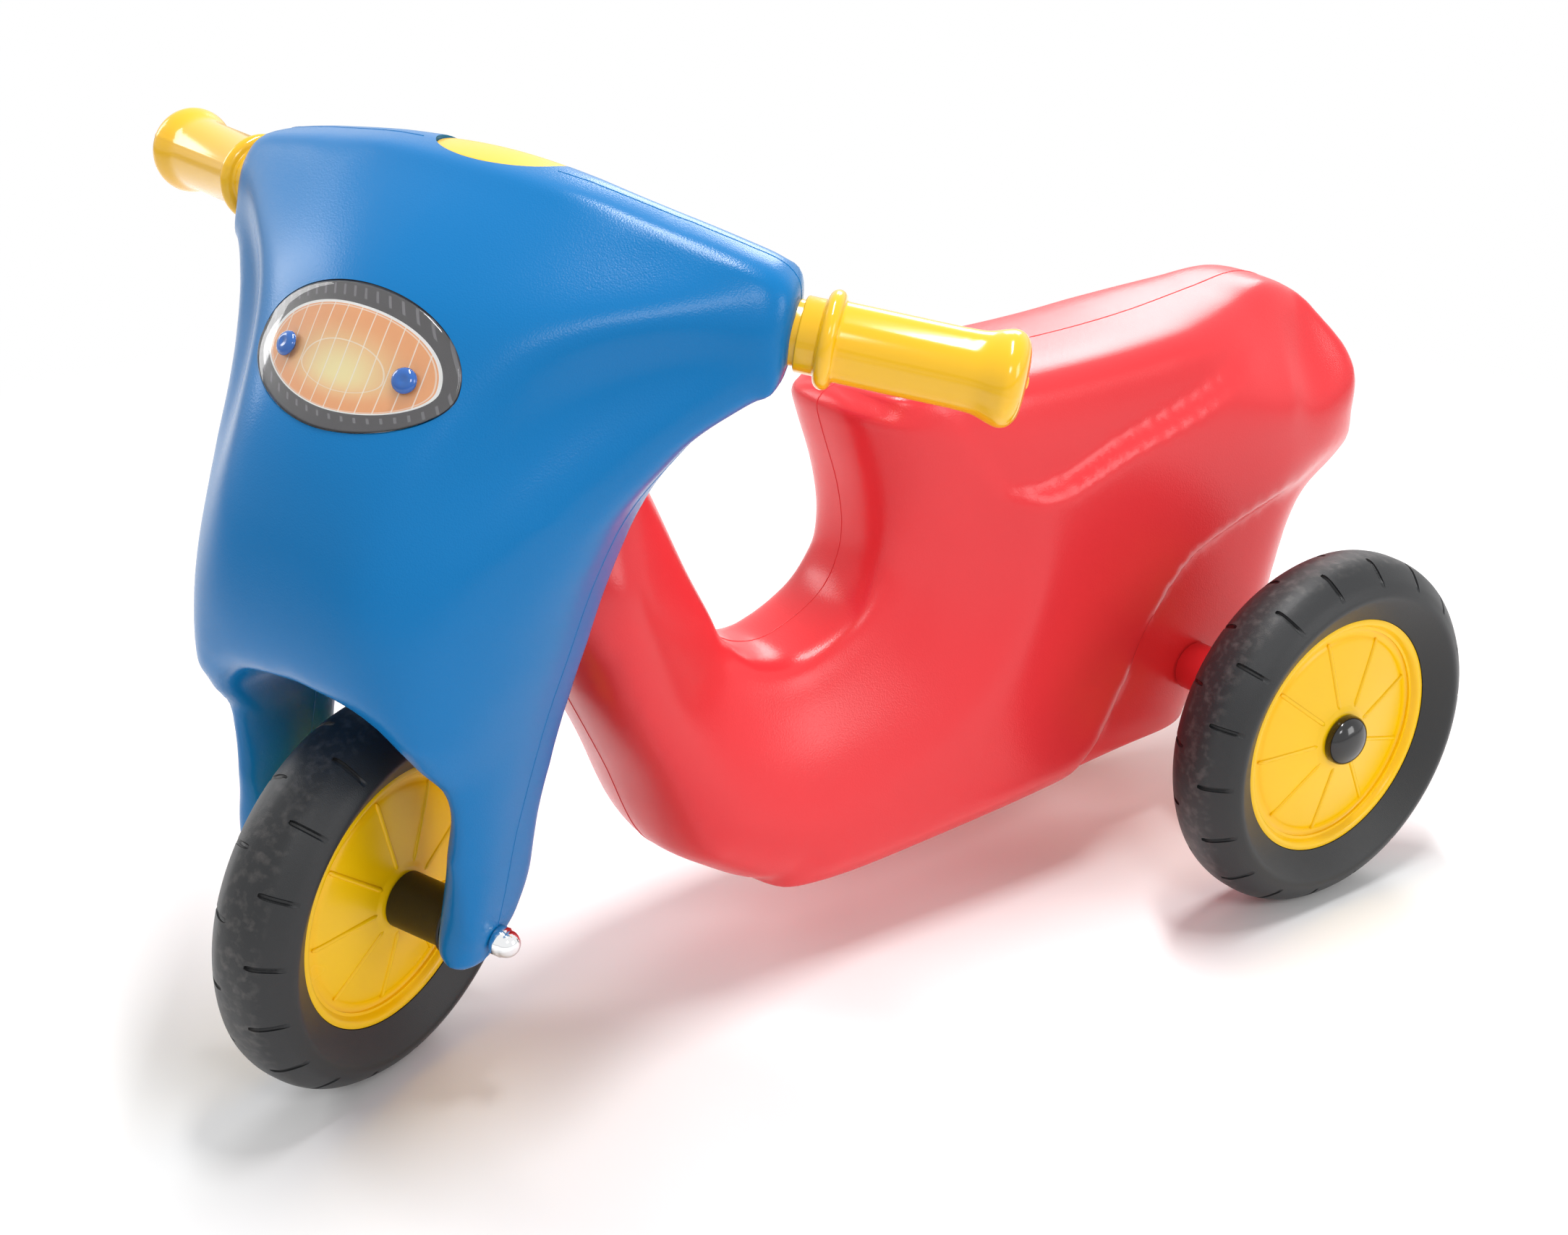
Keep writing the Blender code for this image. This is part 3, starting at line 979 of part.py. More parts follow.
def make_front_axle(steel, black, pivot):
    """The front axle through the fork, with its sleeves and the bright domed nuts outside."""
    face = FORK_GAP_HALF_WIDTH + FORK_LEG_WIDTH - 1.0
    nut_start = face + 0.6
    nut_width, nut_base, dome = 12.0, 4.0, 5.6
    thread = nut_start + nut_base + 1.5
    add_piece("front_axle", rod("front_axle", AXLE_RADIUS, -thread, thread, AXLE_STEPS), steel, pivot)
    for side, sign in (("left", 1), ("right", -1)):
        place = Matrix.Identity(4) if sign > 0 else Matrix.Rotation(math.pi, 4, 'Z')
        name = f"front_spacer_{side}"
        inner, outer = HUB_HALF_WIDTH + RUNNING, FORK_GAP_HALF_WIDTH - FIT
        flange = 1.5
        profile = [(inner, AXLE_RADIUS + FIT), (inner, SLEEVE_RADIUS), (outer - 2.0, SLEEVE_RADIUS),
                   (outer - 2.0, SLEEVE_RADIUS + flange), (outer, SLEEVE_RADIUS + flange),
                   (outer, AXLE_RADIUS + FIT)]
        add_piece(name, turned(name, profile, AXLE_STEPS + 4, place), black, pivot)
        name = f"front_axle_nut_{side}"
        bore = AXLE_RADIUS + FIT
        profile = [(thread + FIT, 0), (thread + FIT, bore), (nut_start, bore), (nut_start, nut_width / 2),
                   (nut_start + nut_base, nut_width / 2), (nut_start + nut_base + 0.3, dome)]
        for k in (1, 2, 3):
            lift = math.radians(22.5 * k)
            profile.append((nut_start + nut_base + 0.3 + dome * math.sin(lift), dome * math.cos(lift)))
        profile.append((nut_start + nut_base + 0.3 + dome, 0))
        add_piece(name, turned(name, profile, AXLE_STEPS, place), steel, pivot)


# Assembly

def empty(name, parent=None, place=(0.0, 0.0, 0.0)):
    """A plain pivot."""
    pivot = bpy.data.objects.new(name, None)
    bpy.context.scene.collection.objects.link(pivot)
    pivot.parent = parent
    pivot.location = Vector(place) * MM
    return pivot


def centre_on_footprint(root):
    """Sets the middle of the vehicle's footprint on the world's origin."""
    bpy.context.view_layer.update()
    graph = bpy.context.evaluated_depsgraph_get()
    low, high = Vector((1e9,) * 3), Vector((-1e9,) * 3)
    for piece in bpy.context.scene.objects:
        if piece.type != 'MESH' or piece.hide_render:
            continue
        final = piece.evaluated_get(graph)
        mesh = final.to_mesh()
        for vertex in mesh.vertices:
            spot = final.matrix_world @ vertex.co
            low = Vector(map(min, low, spot))
            high = Vector(map(max, high, spot))
        final.to_mesh_clear()
    root.location = Vector((-(low.x + high.x) / 2, -(low.y + high.y) / 2, -low.z))
    bpy.context.view_layer.update()


def build():
    for piece in list(bpy.data.objects):
        bpy.data.objects.remove(piece, do_unlink=True)
    red = finish("red_plastic", (0.78, 0.045, 0.05), 0.38)
    blue = finish("blue_plastic", (0.0, 0.13, 0.55), 0.38)
    yellow = finish("yellow_plastic", (1.0, 0.65, 0.0), 0.3)
    rubber = finish("black_rubber", (0.03, 0.032, 0.034), 0.6)
    black = finish("black_plastic", (0.012, 0.012, 0.014), 0.25)
    steel = finish("bright_steel", (0.7, 0.7, 0.72), 0.2, 1.0)
    clear = finish("clear_plastic", (0.85, 0.87, 0.9), 0.08)
    print_finish = finish("printed_plate", (0.85, 0.35, 0.1), 0.4)

    root = empty("vehicle")
    make_body(red, steel, black, root)
    steering = empty("steering_pivot", root, (0.0, -WHEELBASE, AXLE_HEIGHT))
    steering.rotation_mode = 'QUATERNION'
    steering.rotation_quaternion = Quaternion((0.0, math.sin(RAKE), math.cos(RAKE)), STEER_AT_REST)
    make_fairing(blue, yellow, steel, black, clear, print_finish, steering)
    front = empty("front_wheel_pivot", steering)
    make_wheel("front", "front_hub_bush", yellow, rubber, black, front)
    for side, sign in (("left", 1), ("right", -1)):
        pivot = empty(f"rear_{side}_pivot", root, (sign * REAR_TRACK / 2, 0.0, AXLE_HEIGHT))
        make_wheel(f"rear_{side}", f"rear_{side}_hub_bush", yellow, rubber, black, pivot)
    centre_on_footprint(root)


build()
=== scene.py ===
"""Toddler ride-on motorcycle, dressed: a red blow-moulded body, a blue fairing with its fork, yellow
grips and rims, black tyres, and the printed headlight under its clear cover.

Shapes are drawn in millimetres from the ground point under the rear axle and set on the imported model.
"""

import json
import math

import bmesh
import bpy
import numpy as np
from mathutils import Matrix, Quaternion, Vector
from mathutils.geometry import delaunay_2d_cdt
from mathutils.kdtree import KDTree


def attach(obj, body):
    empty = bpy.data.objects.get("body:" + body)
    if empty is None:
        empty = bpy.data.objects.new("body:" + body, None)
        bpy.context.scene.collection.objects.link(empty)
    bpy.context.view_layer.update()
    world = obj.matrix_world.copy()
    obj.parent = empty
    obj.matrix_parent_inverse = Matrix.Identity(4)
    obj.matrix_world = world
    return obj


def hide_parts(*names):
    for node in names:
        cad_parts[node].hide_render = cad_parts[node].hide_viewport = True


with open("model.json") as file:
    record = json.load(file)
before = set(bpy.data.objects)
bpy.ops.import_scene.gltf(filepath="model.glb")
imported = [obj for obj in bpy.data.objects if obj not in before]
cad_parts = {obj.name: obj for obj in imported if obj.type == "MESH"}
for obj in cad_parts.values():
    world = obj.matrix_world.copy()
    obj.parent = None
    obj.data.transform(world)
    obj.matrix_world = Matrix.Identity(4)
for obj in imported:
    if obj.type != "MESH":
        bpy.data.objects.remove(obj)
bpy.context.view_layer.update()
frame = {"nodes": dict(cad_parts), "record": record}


# Body shell
# The real one is a single blow-moulded polyethylene shell: seat, step-through and front column in one
# hollow piece about 2 mm thick, from a two-part mould whose parting line runs round it at mid width.
# It takes the rear axle through its tail and the steering pin through its head.

MM = 0.001

# Sizes in the side view and across, measured from the ground and from the rear axle.
WHEEL_RADIUS = 82.5
WHEELBASE = 408.0
REAR_TRACK = 240.0
GROUND_CLEARANCE = 36.5
FLOOR_HEIGHT = 141.0
SEAT_HEIGHT = 248.5
SEAT_REAR_RISE = 9.5
SEAT_FRONT_REACH = 180.5
TAIL_REACH = 118.0
TAIL_LIP_HEIGHT = 160.0
COLUMN_REAR_REACH = 258.0
COLUMN_FRONT_REACH = 321.0
BODY_HALF_WIDTH = 50.5
FLANK_HALF_WIDTH = 54.0
FLANK_WIDENS_OVER = (-190.0, -110.0)
ARCH_DEPTH = 14.0
ARCH_EDGE = 13.0
PANEL_DEPTH = 6.5
PANEL_EDGE = 6.0
RAKE = math.radians(13.0)
HEAD_RADIUS = 26.0
HEAD_BOTTOM = 124.6
CROWN_HEIGHT = 283.0
CROWN_COVER = 40.6
AXLE_HEIGHT = WHEEL_RADIUS
HEAD_TOP = CROWN_HEIGHT - CROWN_COVER
SEAT_REAR_HEIGHT = SEAT_HEIGHT + SEAT_REAR_RISE
BODY_LINE = 0.25

# How the skin is drawn out: fuller up the transom, and thinner at the seat's edge towards the tail.
TRANSOM_FULLNESS = 1.1
TRANSOM_FULL_BELOW_SEAT = (75.0, 8.0)
SEAT_EDGE_EASE = 0.45
SEAT_EASE_BEFORE_TAIL = (150.0, 52.0)
CHIN, TRANSOM, SEAT_TOP, COLUMN_BACK = 2, 5, 6, 9
BLEND_POWER = 8.0
BODY_EASING = 6
FIRM_RIM = 9.0

# How finely the skin is meshed, with each clearance as a share of a step.
OUTLINE_STEP = 2.6
GRID_STEP = 2.9
TRIANGLE_RISE = 0.866
GRID_CLEARANCE = 0.6
ROW_CLEARANCE = 0.96
ROW_SPACING = 0.45
FOLD_CLEARANCE = 0.3
FOLD_END_CLEARANCE = 0.25
BLUNT_TURN = math.radians(35.0)
POINTS_AT_ONCE = 3000
ROW_DEPTHS = (0.12, 0.35, 0.75, 1.3, 2.1, 3.2, 4.7, 6.6, 9.0, 11.6)

# Colour, how far its clouds and its gloss swing round it, and the mould's grain.
BODY_RED = (0.8, 0.036, 0.044)
CLOUD_SCALE = 14.0
CLOUD_DETAIL = 3.0
CLOUD_SHADES = (0.965, 1.03)
GLOSS_SWING = (-0.04, 0.05)
GRAIN_DEPTH = 0.15
FINE_GRAINS = 0.9

JOINTS = {joint["name"]: joint for joint in frame["record"]["behaviour"]["joints"]}
GROUND = Vector(JOINTS["rear_left_spin"]["pos_m"]) - Vector((REAR_TRACK / 2, 0, AXLE_HEIGHT)) * MM


def soft_step(value, start, end):
    """0 before start, 1 after end, smooth between."""
    t = np.clip((np.asarray(value, float) - start) / (end - start), 0.0, 1.0)
    return t * t * (3.0 - 2.0 * t)


def smallest(*sizes):
    """The least of several sizes, with the corners between them rounded."""
    total = sum(np.maximum(size, 1e-6) ** -BLEND_POWER for size in sizes)
    return total ** (-1.0 / BLEND_POWER)


def through(pairs):
    """A monotone smooth function through (place, value) pairs, straight past its ends."""
    place, value = np.array(pairs, float).T
    step = np.diff(place)
    slope = np.diff(value) / step
    tangent = np.concatenate([slope[:1], np.zeros(len(slope) - 1), slope[-1:]])
    for i in range(1, len(slope)):
        if slope[i - 1] * slope[i] > 0:
            near, far = 2 * step[i] + step[i - 1], step[i] + 2 * step[i - 1]
            tangent[i] = (near + far) / (near / slope[i - 1] + far / slope[i])

    def curve(at):
        at = np.asarray(at, float)
        i = np.clip(np.searchsorted(place, at) - 1, 0, len(step) - 1)
        t = np.clip((at - place[i]) / step[i], 0.0, 1.0)
        inside = ((1 + 2 * t) * (1 - t) ** 2 * value[i] + t * (1 - t) ** 2 * step[i] * tangent[i]
                  + t * t * (3 - 2 * t) * value[i + 1] + t * t * (t - 1) * step[i] * tangent[i + 1])
        before = np.minimum(at - place[0], 0.0) * tangent[0]
        after = np.maximum(at - place[-1], 0.0) * tangent[-1]
        return inside + before + after

    return curve


def rounding(*pairs):
    """How far a moulded wall stands out, by its distance in from the outline's edge."""
    curve = through([(math.sqrt(depth), size) for depth, size in ((0.0, 0.0),) + pairs])
    return lambda distance: curve(np.sqrt(np.maximum(distance, 0.0)))


def smooth_line(points, step, before=None, after=None):
    """Points about one step apart on a smooth curve through the given ones.

    The curve leaves and arrives as if it went on to the points before and after, where they're given.
    """
    points = [np.array(point, float) for point in points]
    before = 2 * points[0] - points[1] if before is None else np.array(before, float)
    after = 2 * points[-1] - points[-2] if after is None else np.array(after, float)
    padded = [before, *points, after]
    line = [points[0]]
    for i in range(1, len(padded) - 2):
        a, b, c, d = padded[i - 1:i + 3]
        times = [0.0]
        for start, end in ((a, b), (b, c), (c, d)):
            times.append(times[-1] + math.sqrt(np.linalg.norm(end - start)))
        out_b = (c - a) / times[2] * (times[2] - times[1])
        out_c = (d - b) / (times[3] - times[1]) * (times[2] - times[1])
        count = max(1, round(np.linalg.norm(c - b) / step))
        for j in range(1, count + 1):
            t = j / count
            line.append((1 + 2 * t) * (1 - t) ** 2 * b + t * (1 - t) ** 2 * out_b
                        + t * t * (3 - 2 * t) * c + t * t * (t - 1) * out_c)
    return line


def closed_lines(edges, step):
    """The edges of an outline as fine lines, which run on smoothly into each other at blunt joints."""
    lines = []
    for i, edge in enumerate(edges):
        last, following = edges[i - 1], edges[(i + 1) % len(edges)]
        before = last[-2] if blunt(last, edge) else None
        after = following[1] if blunt(edge, following) else None
        lines.append(smooth_line(edge, step, before, after))
    return lines


def blunt(edge, following):
    """Whether two edges run on into each other with little turn."""
    arriving = Vector(edge[-1]) - Vector(edge[-2])
    leaving = Vector(following[1]) - Vector(following[0])
    return arriving.angle(leaving) < BLUNT_TURN


def distance_to(line, points):
    """Shortest distance from each point to a line of short straight pieces."""
    starts, ends = np.array(line[:-1]), np.array(line[1:])
    along = ends - starts
    length = np.maximum((along ** 2).sum(1), 1e-9)
    out = []
    for block in np.array_split(points, max(1, len(points) // POINTS_AT_ONCE)):
        offset = block[:, None, :] - starts[None]
        t = np.clip((offset * along).sum(2) / length, 0.0, 1.0)
        out.append(np.linalg.norm(offset - t[..., None] * along, axis=2).min(1))
    return np.concatenate(out)


def parallel(line, offset):
    """Points beside a line, at a distance to its left."""
    line = np.array(line)
    way = np.gradient(line, axis=0)
    way /= np.linalg.norm(way, axis=1)[:, None]
    return line + np.stack([-way[:, 1], way[:, 0]], 1) * offset


def inside_of(loop, points):
    """Which points lie within a closed outline."""
    start, end = np.array(loop), np.roll(loop, -1, axis=0)
    rise = np.where(end[:, 1] == start[:, 1], 1.0, end[:, 1] - start[:, 1])
    out = []
    for block in np.array_split(points, max(1, len(points) // POINTS_AT_ONCE)):
        crossing = (start[None, :, 1] > block[:, None, 1]) != (end[None, :, 1] > block[:, None, 1])
        where = start[:, 0] + (block[:, None, 1] - start[:, 1]) * (end[:, 0] - start[:, 0]) / rise
        out.append((crossing & (block[:, None, 0] < where)).sum(1) % 2 == 1)
    return np.concatenate(out)


def closed_mesh(name, points, faces, place=None):
    """A closed mesh in metres, with its faces turned outwards."""
    bm = bmesh.new()
    corners = [bm.verts.new(Vector(point) * MM) for point in points]
    for face in faces:
        bm.faces.new([corners[i] for i in face])
    bmesh.ops.recalc_face_normals(bm, faces=bm.faces)
    if place:
        bm.transform(place)
    mesh = bpy.data.meshes.new(name)
    bm.to_mesh(mesh)
    bm.free()
    return mesh


def moulding(name, edges, one_side, other_side, creases=()):
    """A two-half moulding: its outline lies on the parting face, and each half rises from it.

    Every edge is a list of outline points. A side is a function of the flat places and of their
    distances to each edge, and it gives the places in space. Each crease is a line that the mesh
    follows, with the width of the step beside it.
    """
    lines = closed_lines(edges, OUTLINE_STEP)
    loop = np.array([point for line in lines for point in line[:-1]])
    normal = np.roll(loop, -1, axis=0) - np.roll(loop, 1, axis=0)
    normal = np.stack([-normal[:, 1], normal[:, 0]], 1)
    normal /= np.linalg.norm(normal, axis=1)[:, None]
    if not inside_of(loop, loop[:1] + normal[:1])[0]:
        normal = -normal
    closed = np.vstack([loop, loop[:1]])

    rows = [loop]
    for depth in ROW_DEPTHS:
        row = loop + normal * depth
        keep = (distance_to(closed, row) > ROW_CLEARANCE * depth) & inside_of(loop, row)
        spaced = []
        for point in row[keep]:
            if not spaced or np.linalg.norm(point - spaced[-1]) > ROW_SPACING * OUTLINE_STEP:
                spaced.append(point)
        rows.append(np.array(spaced))
    low, high = loop.min(0), loop.max(0)
    grid = []
    for j in range(int((high[1] - low[1]) / (GRID_STEP * TRIANGLE_RISE)) + 1):
        for i in range(int((high[0] - low[0]) / GRID_STEP) + 1):
            grid.append((low[0] + (i + 0.5 * (j % 2)) * GRID_STEP, low[1] + j * GRID_STEP * TRIANGLE_RISE))
    grid = np.array(grid)
    clear = ROW_DEPTHS[-1] + GRID_CLEARANCE * GRID_STEP
    grid = grid[inside_of(loop, grid) & (distance_to(closed, grid) > clear)]
    folds = []
    for line, width in creases:
        for offset in (0.0, width):
            fold = parallel(line, offset)
            within = inside_of(loop, fold) & (distance_to(closed, fold) > FOLD_END_CLEARANCE * OUTLINE_STEP)
            fold = fold[within]
            folds.append(fold)
            for i, row in enumerate(rows[1:], 1):
                rows[i] = row[distance_to(fold, row) > FOLD_CLEARANCE * OUTLINE_STEP]
            grid = grid[distance_to(fold, grid) > GRID_CLEARANCE * GRID_STEP]
    flat = np.vstack(rows + [grid] + folds)

    count = len(loop)
    rim = [(i, (i + 1) % count) for i in range(count)]
    while True:
        result = delaunay_2d_cdt([Vector(point) for point in flat], rim, [], 1, 1e-4)
        flat = np.array([tuple(point) for point in result[0]])
        chords = {tuple(sorted((f[k], f[(k + 1) % 3]))) for f in result[2] for k in range(3)}
        chords = [c for c in chords if c[1] < count and (c[1] - c[0]) not in (1, count - 1)]
        if not chords:
            break
        flat = np.vstack([flat] + [(flat[a] + flat[b])[None] / 2 for a, b in chords])

    spans = [distance_to(line, flat) for line in lines]
    front, back = one_side(flat, spans), other_side(flat, spans)
    inner = np.arange(len(flat)) >= count
    partner = np.where(inner, np.cumsum(inner) - 1 + len(flat), np.arange(len(flat)))
    points = np.vstack([front, back[inner]])
    faces = [list(face) for face in result[2]]
    faces += [[int(partner[i]) for i in reversed(face)] for face in result[2]]
    return closed_mesh(name, [tuple(point) for point in points], faces)


def spans_on_outline(spans):
    """Which points lie on the outline itself, where both halves of a moulding meet."""
    return np.min(spans, axis=0) < 1e-3


def axis_place(u, b=0.0, x=0.0):
    """A place u up the steering axis, b behind it and x to its left, from the front axle's centre."""
    return Vector((x, b * math.cos(RAKE) + u * math.sin(RAKE), u * math.cos(RAKE) - b * math.sin(RAKE)))


def column_place(u, b):
    """The same place in the body's side view, as (y, z)."""
    place = axis_place(u, b)
    return place.y - WHEELBASE, place.z + AXLE_HEIGHT


def in_scene(name, data):
    """A new object in the scene for a mesh, a curve, a lamp or a camera."""
    made = bpy.data.objects.new(name, data)
    bpy.context.scene.collection.objects.link(made)
    return made


def worked_mesh(piece):
    """The mesh that a piece's modifiers make of it, as a plain one."""
    graph = bpy.context.evaluated_depsgraph_get()
    return bpy.data.meshes.new_from_object(piece.evaluated_get(graph))


def shown(name, mesh, material, body, slot, *nodes, sharp=None):
    """A finished piece: smooth, with its material, riding on its body and standing for its nodes."""
    for polygon in mesh.polygons:
        polygon.use_smooth = True
    if sharp:
        mesh.set_sharp_from_angle(angle=math.radians(sharp))
    piece = in_scene(name, mesh)
    mesh.materials.append(material)
    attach(piece, body)
    if nodes:
        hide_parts(*nodes)


def new_material(name):
    """A new material, with its nodes, its links and its surface shader."""
    material = bpy.data.materials.new(name)
    material.use_nodes = True
    tree = material.node_tree
    return material, tree.nodes, tree.links, tree.nodes["Principled BSDF"]


def noise(nodes, links, scale, detail=2.0):
    """A cloudy pattern fixed to the piece, at so many waves to the metre."""
    place, pattern = nodes.new("ShaderNodeTexCoord"), nodes.new("ShaderNodeTexNoise")
    pattern.inputs["Scale"].default_value = scale
    pattern.inputs["Detail"].default_value = detail
    links.new(place.outputs["Object"], pattern.inputs["Vector"])
    return pattern.outputs["Fac"]


def worked_out(nodes, links, operation, *values):
    """What an operation on numbers and sockets comes to, as a socket."""
    node = nodes.new("ShaderNodeMath")
    node.operation = operation
    for socket, value in zip(node.inputs, values):
        if isinstance(value, (int, float)):
            socket.default_value = value
        else:
            links.new(value, socket)
    return node.outputs["Value"]


def polish(nodes, links, shader, pattern, low, high):
    """Lets a shader's roughness run between two values with a pattern."""
    gloss = nodes.new("ShaderNodeMapRange")
    gloss.inputs["To Min"].default_value = low
    gloss.inputs["To Max"].default_value = high
    links.new(pattern, gloss.inputs["Value"])
    links.new(gloss.outputs["Result"], shader.inputs["Roughness"])


def relief(nodes, links, shader, pattern, strength, depth):
    """Raises a shader's surface by a pattern, with its depth in millimetres."""
    bump = nodes.new("ShaderNodeBump")
    bump.inputs["Strength"].default_value = strength
    bump.inputs["Distance"].default_value = depth * MM
    links.new(pattern, bump.inputs["Height"])
    links.new(bump.outputs["Normal"], shader.inputs["Normal"])


def plastic(name, colour, roughness, grain, grain_size, coat=0.0, gloss_level=0.5):
    """Moulded plastic: a fine leather-like mould grain, and faint clouds in its colour and gloss."""
    material, nodes, links, shader = new_material(name)
    shader.inputs["Coat Weight"].default_value = coat
    shader.inputs["Coat Roughness"].default_value = 0.12
    shader.inputs["IOR"].default_value = 1.5
    shader.inputs["Specular IOR Level"].default_value = gloss_level
    clouds = noise(nodes, links, CLOUD_SCALE, CLOUD_DETAIL)
    shade = nodes.new("ShaderNodeMixRGB")
    for socket, strength in zip(("Color1", "Color2"), CLOUD_SHADES):
        shade.inputs[socket].default_value = (*[min(1.0, part * strength) for part in colour], 1)
    links.new(clouds, shade.inputs["Fac"])
    links.new(shade.outputs["Color"], shader.inputs["Base Color"])
    polish(nodes, links, shader, clouds, roughness + GLOSS_SWING[0], roughness + GLOSS_SWING[1])
    place, leather = nodes.new("ShaderNodeTexCoord"), nodes.new("ShaderNodeTexVoronoi")
    leather.inputs["Scale"].default_value = 1.0 / (grain_size * MM)
    links.new(place.outputs["Object"], leather.inputs["Vector"])
    fine = noise(nodes, links, FINE_GRAINS / (grain_size * MM))
    skin = worked_out(nodes, links, 'ADD', leather.outputs["Distance"], fine)
    relief(nodes, links, shader, skin, grain, GRAIN_DEPTH)
    return material


red = plastic("red_plastic", BODY_RED, roughness=0.24, grain=0.22, grain_size=0.7, gloss_level=0.36)


def body_edges():
    """The side view of the body as named edges, from the head down the front and round the back."""
    seat, floor, low = SEAT_HEIGHT, FLOOR_HEIGHT, GROUND_CLEARANCE
    rear = SEAT_REAR_HEIGHT
    front = -COLUMN_FRONT_REACH
    back = -COLUMN_REAR_REACH
    nose = -SEAT_FRONT_REACH
    tail, lip = TAIL_REACH, TAIL_LIP_HEIGHT
    top_front = column_place(HEAD_TOP, -HEAD_RADIUS)
    top_back = column_place(HEAD_TOP, HEAD_RADIUS)
    heel_front = column_place(HEAD_BOTTOM, -HEAD_RADIUS)
    heel_back = column_place(HEAD_BOTTOM, 0.8 * HEAD_RADIUS)
    neck_back = column_place(HEAD_TOP - 30.0, HEAD_RADIUS)
    head_front = [top_front, heel_front]
    heel = [heel_front, heel_back]
    chin = [heel_back, (front - 14.0, floor + 33.0), (front, floor + 4.0), (front + 18.0, floor - 35.0),
            (front + 34.0, floor - 73.0), (front + 52.0, low + 16.0), (front + 76.0, low + 3.0)]
    bottom = [(front + 76.0, low + 3.0), (front + 111.0, low), (front + 145.0, low + 0.7),
              (-114.0, low + 4.5), (-40.0, low + 10.5), (20.0, low + 13.0)]
    stern = [(20.0, low + 13.0), (52.0, low + 23.0), (68.0, low + 46.0), (74.0, low + 72.0),
             (85.0, lip - 21.0), (103.0, lip - 8.0), (tail - 4.0, lip - 1.0)]
    transom = [(tail - 4.0, lip - 1.0), (tail, lip + 11.0), (tail - 6.0, lip + 37.0),
               (tail - 20.0, lip + 62.0), (tail - 36.0, rear - 19.0), (tail - 50.0, rear - 6.0)]
    seat_top = [(tail - 50.0, rear - 6.0), (48.0, rear), (20.0, rear - 3.0), (-20.0, seat + 2.0),
                (-60.0, seat), (-110.0, seat), (-160.0, seat + 1.5), (nose - 6.0, seat)]
    seat_front = [(nose - 6.0, seat), (nose - 14.0, seat - 7.0), (nose - 11.0, seat - 20.0),
                  (nose - 3.0, seat - 45.0), (nose, floor + 42.0), (nose - 2.5, floor + 28.0)]
    floor_line = [(nose - 2.5, floor + 28.0), (nose - 9.0, floor + 16.0), (nose - 20.0, floor + 8.0),
                  (nose - 34.0, floor + 2.0), (nose - 46.0, floor), (back + 17.0, floor + 4.0),
                  (back + 7.0, floor + 13.0)]
    column_back = [(back + 7.0, floor + 13.0), (back, floor + 28.0), (back - 11.0, floor + 50.0),
                   (back - 27.0, floor + 86.0), (back - 43.0, floor + 117.0), (back - 58.0, floor + 136.0),
                   neck_back]
    head_back = [neck_back, top_back]
    head_end = [top_back, top_front]
    return [head_front, heel, chin, bottom, stern, transom, seat_top, seat_front, floor_line,
            column_back, head_back, head_end]


def arch_crease():
    """The crease that rounds the rear wheel, from the tail down to the underside."""
    low, lip = GROUND_CLEARANCE, TAIL_LIP_HEIGHT
    return smooth_line([(TAIL_REACH + 30.0, lip + 22.0), (TAIL_REACH - 34.0, lip + 16.0), (61.0, lip + 10.0),
                        (38.0, lip + 7.0), (4.0, lip - 2.0), (-20.0, lip - 12.0), (-38.0, lip - 30.0),
                        (-50.0, lip - 48.0), (-59.0, lip - 68.0), (-69.0, lip - 86.0),
                        (-81.0, low + 21.0), (-96.0, low - 20.0)], OUTLINE_STEP)


def wheel_arch_depth(flat):
    """How far the flank is drawn in behind the crease that rounds the rear wheel."""
    crease = arch_crease()
    region = np.array(crease + [(TAIL_REACH + 30.0, GROUND_CLEARANCE - 20.0)])
    inwards = np.where(inside_of(region, flat), distance_to(crease, flat), 0.0)
    return ARCH_DEPTH * soft_step(inwards, 0.0, ARCH_EDGE)


def panel_crease():
    """The V-shaped rim of the sunken side panel, from the seat's front to its middle."""
    seat = SEAT_HEIGHT
    return smooth_line([(-166.0, seat + 4.0), (-153.0, seat - 18.0), (-139.0, seat - 38.0),
                        (-129.0, seat - 50.0), (-116.0, seat - 54.0), (-97.0, seat - 53.0),
                        (-66.0, seat - 43.0), (-36.0, seat - 36.0), (-4.0, seat - 27.0),
                        (17.0, seat - 18.0), (36.0, seat - 12.0)], 0.7 * OUTLINE_STEP)


def side_panel_depth(flat):
    """How far the side panel under the seat edge is sunk."""
    rim, seat = panel_crease(), SEAT_HEIGHT
    region = np.array(rim + [(36.0, seat + 40.0), (-166.0, seat + 40.0)])
    inwards = np.where(inside_of(region, flat), distance_to(rim, flat), 0.0)
    return PANEL_DEPTH * soft_step(inwards, 0.0, PANEL_EDGE)


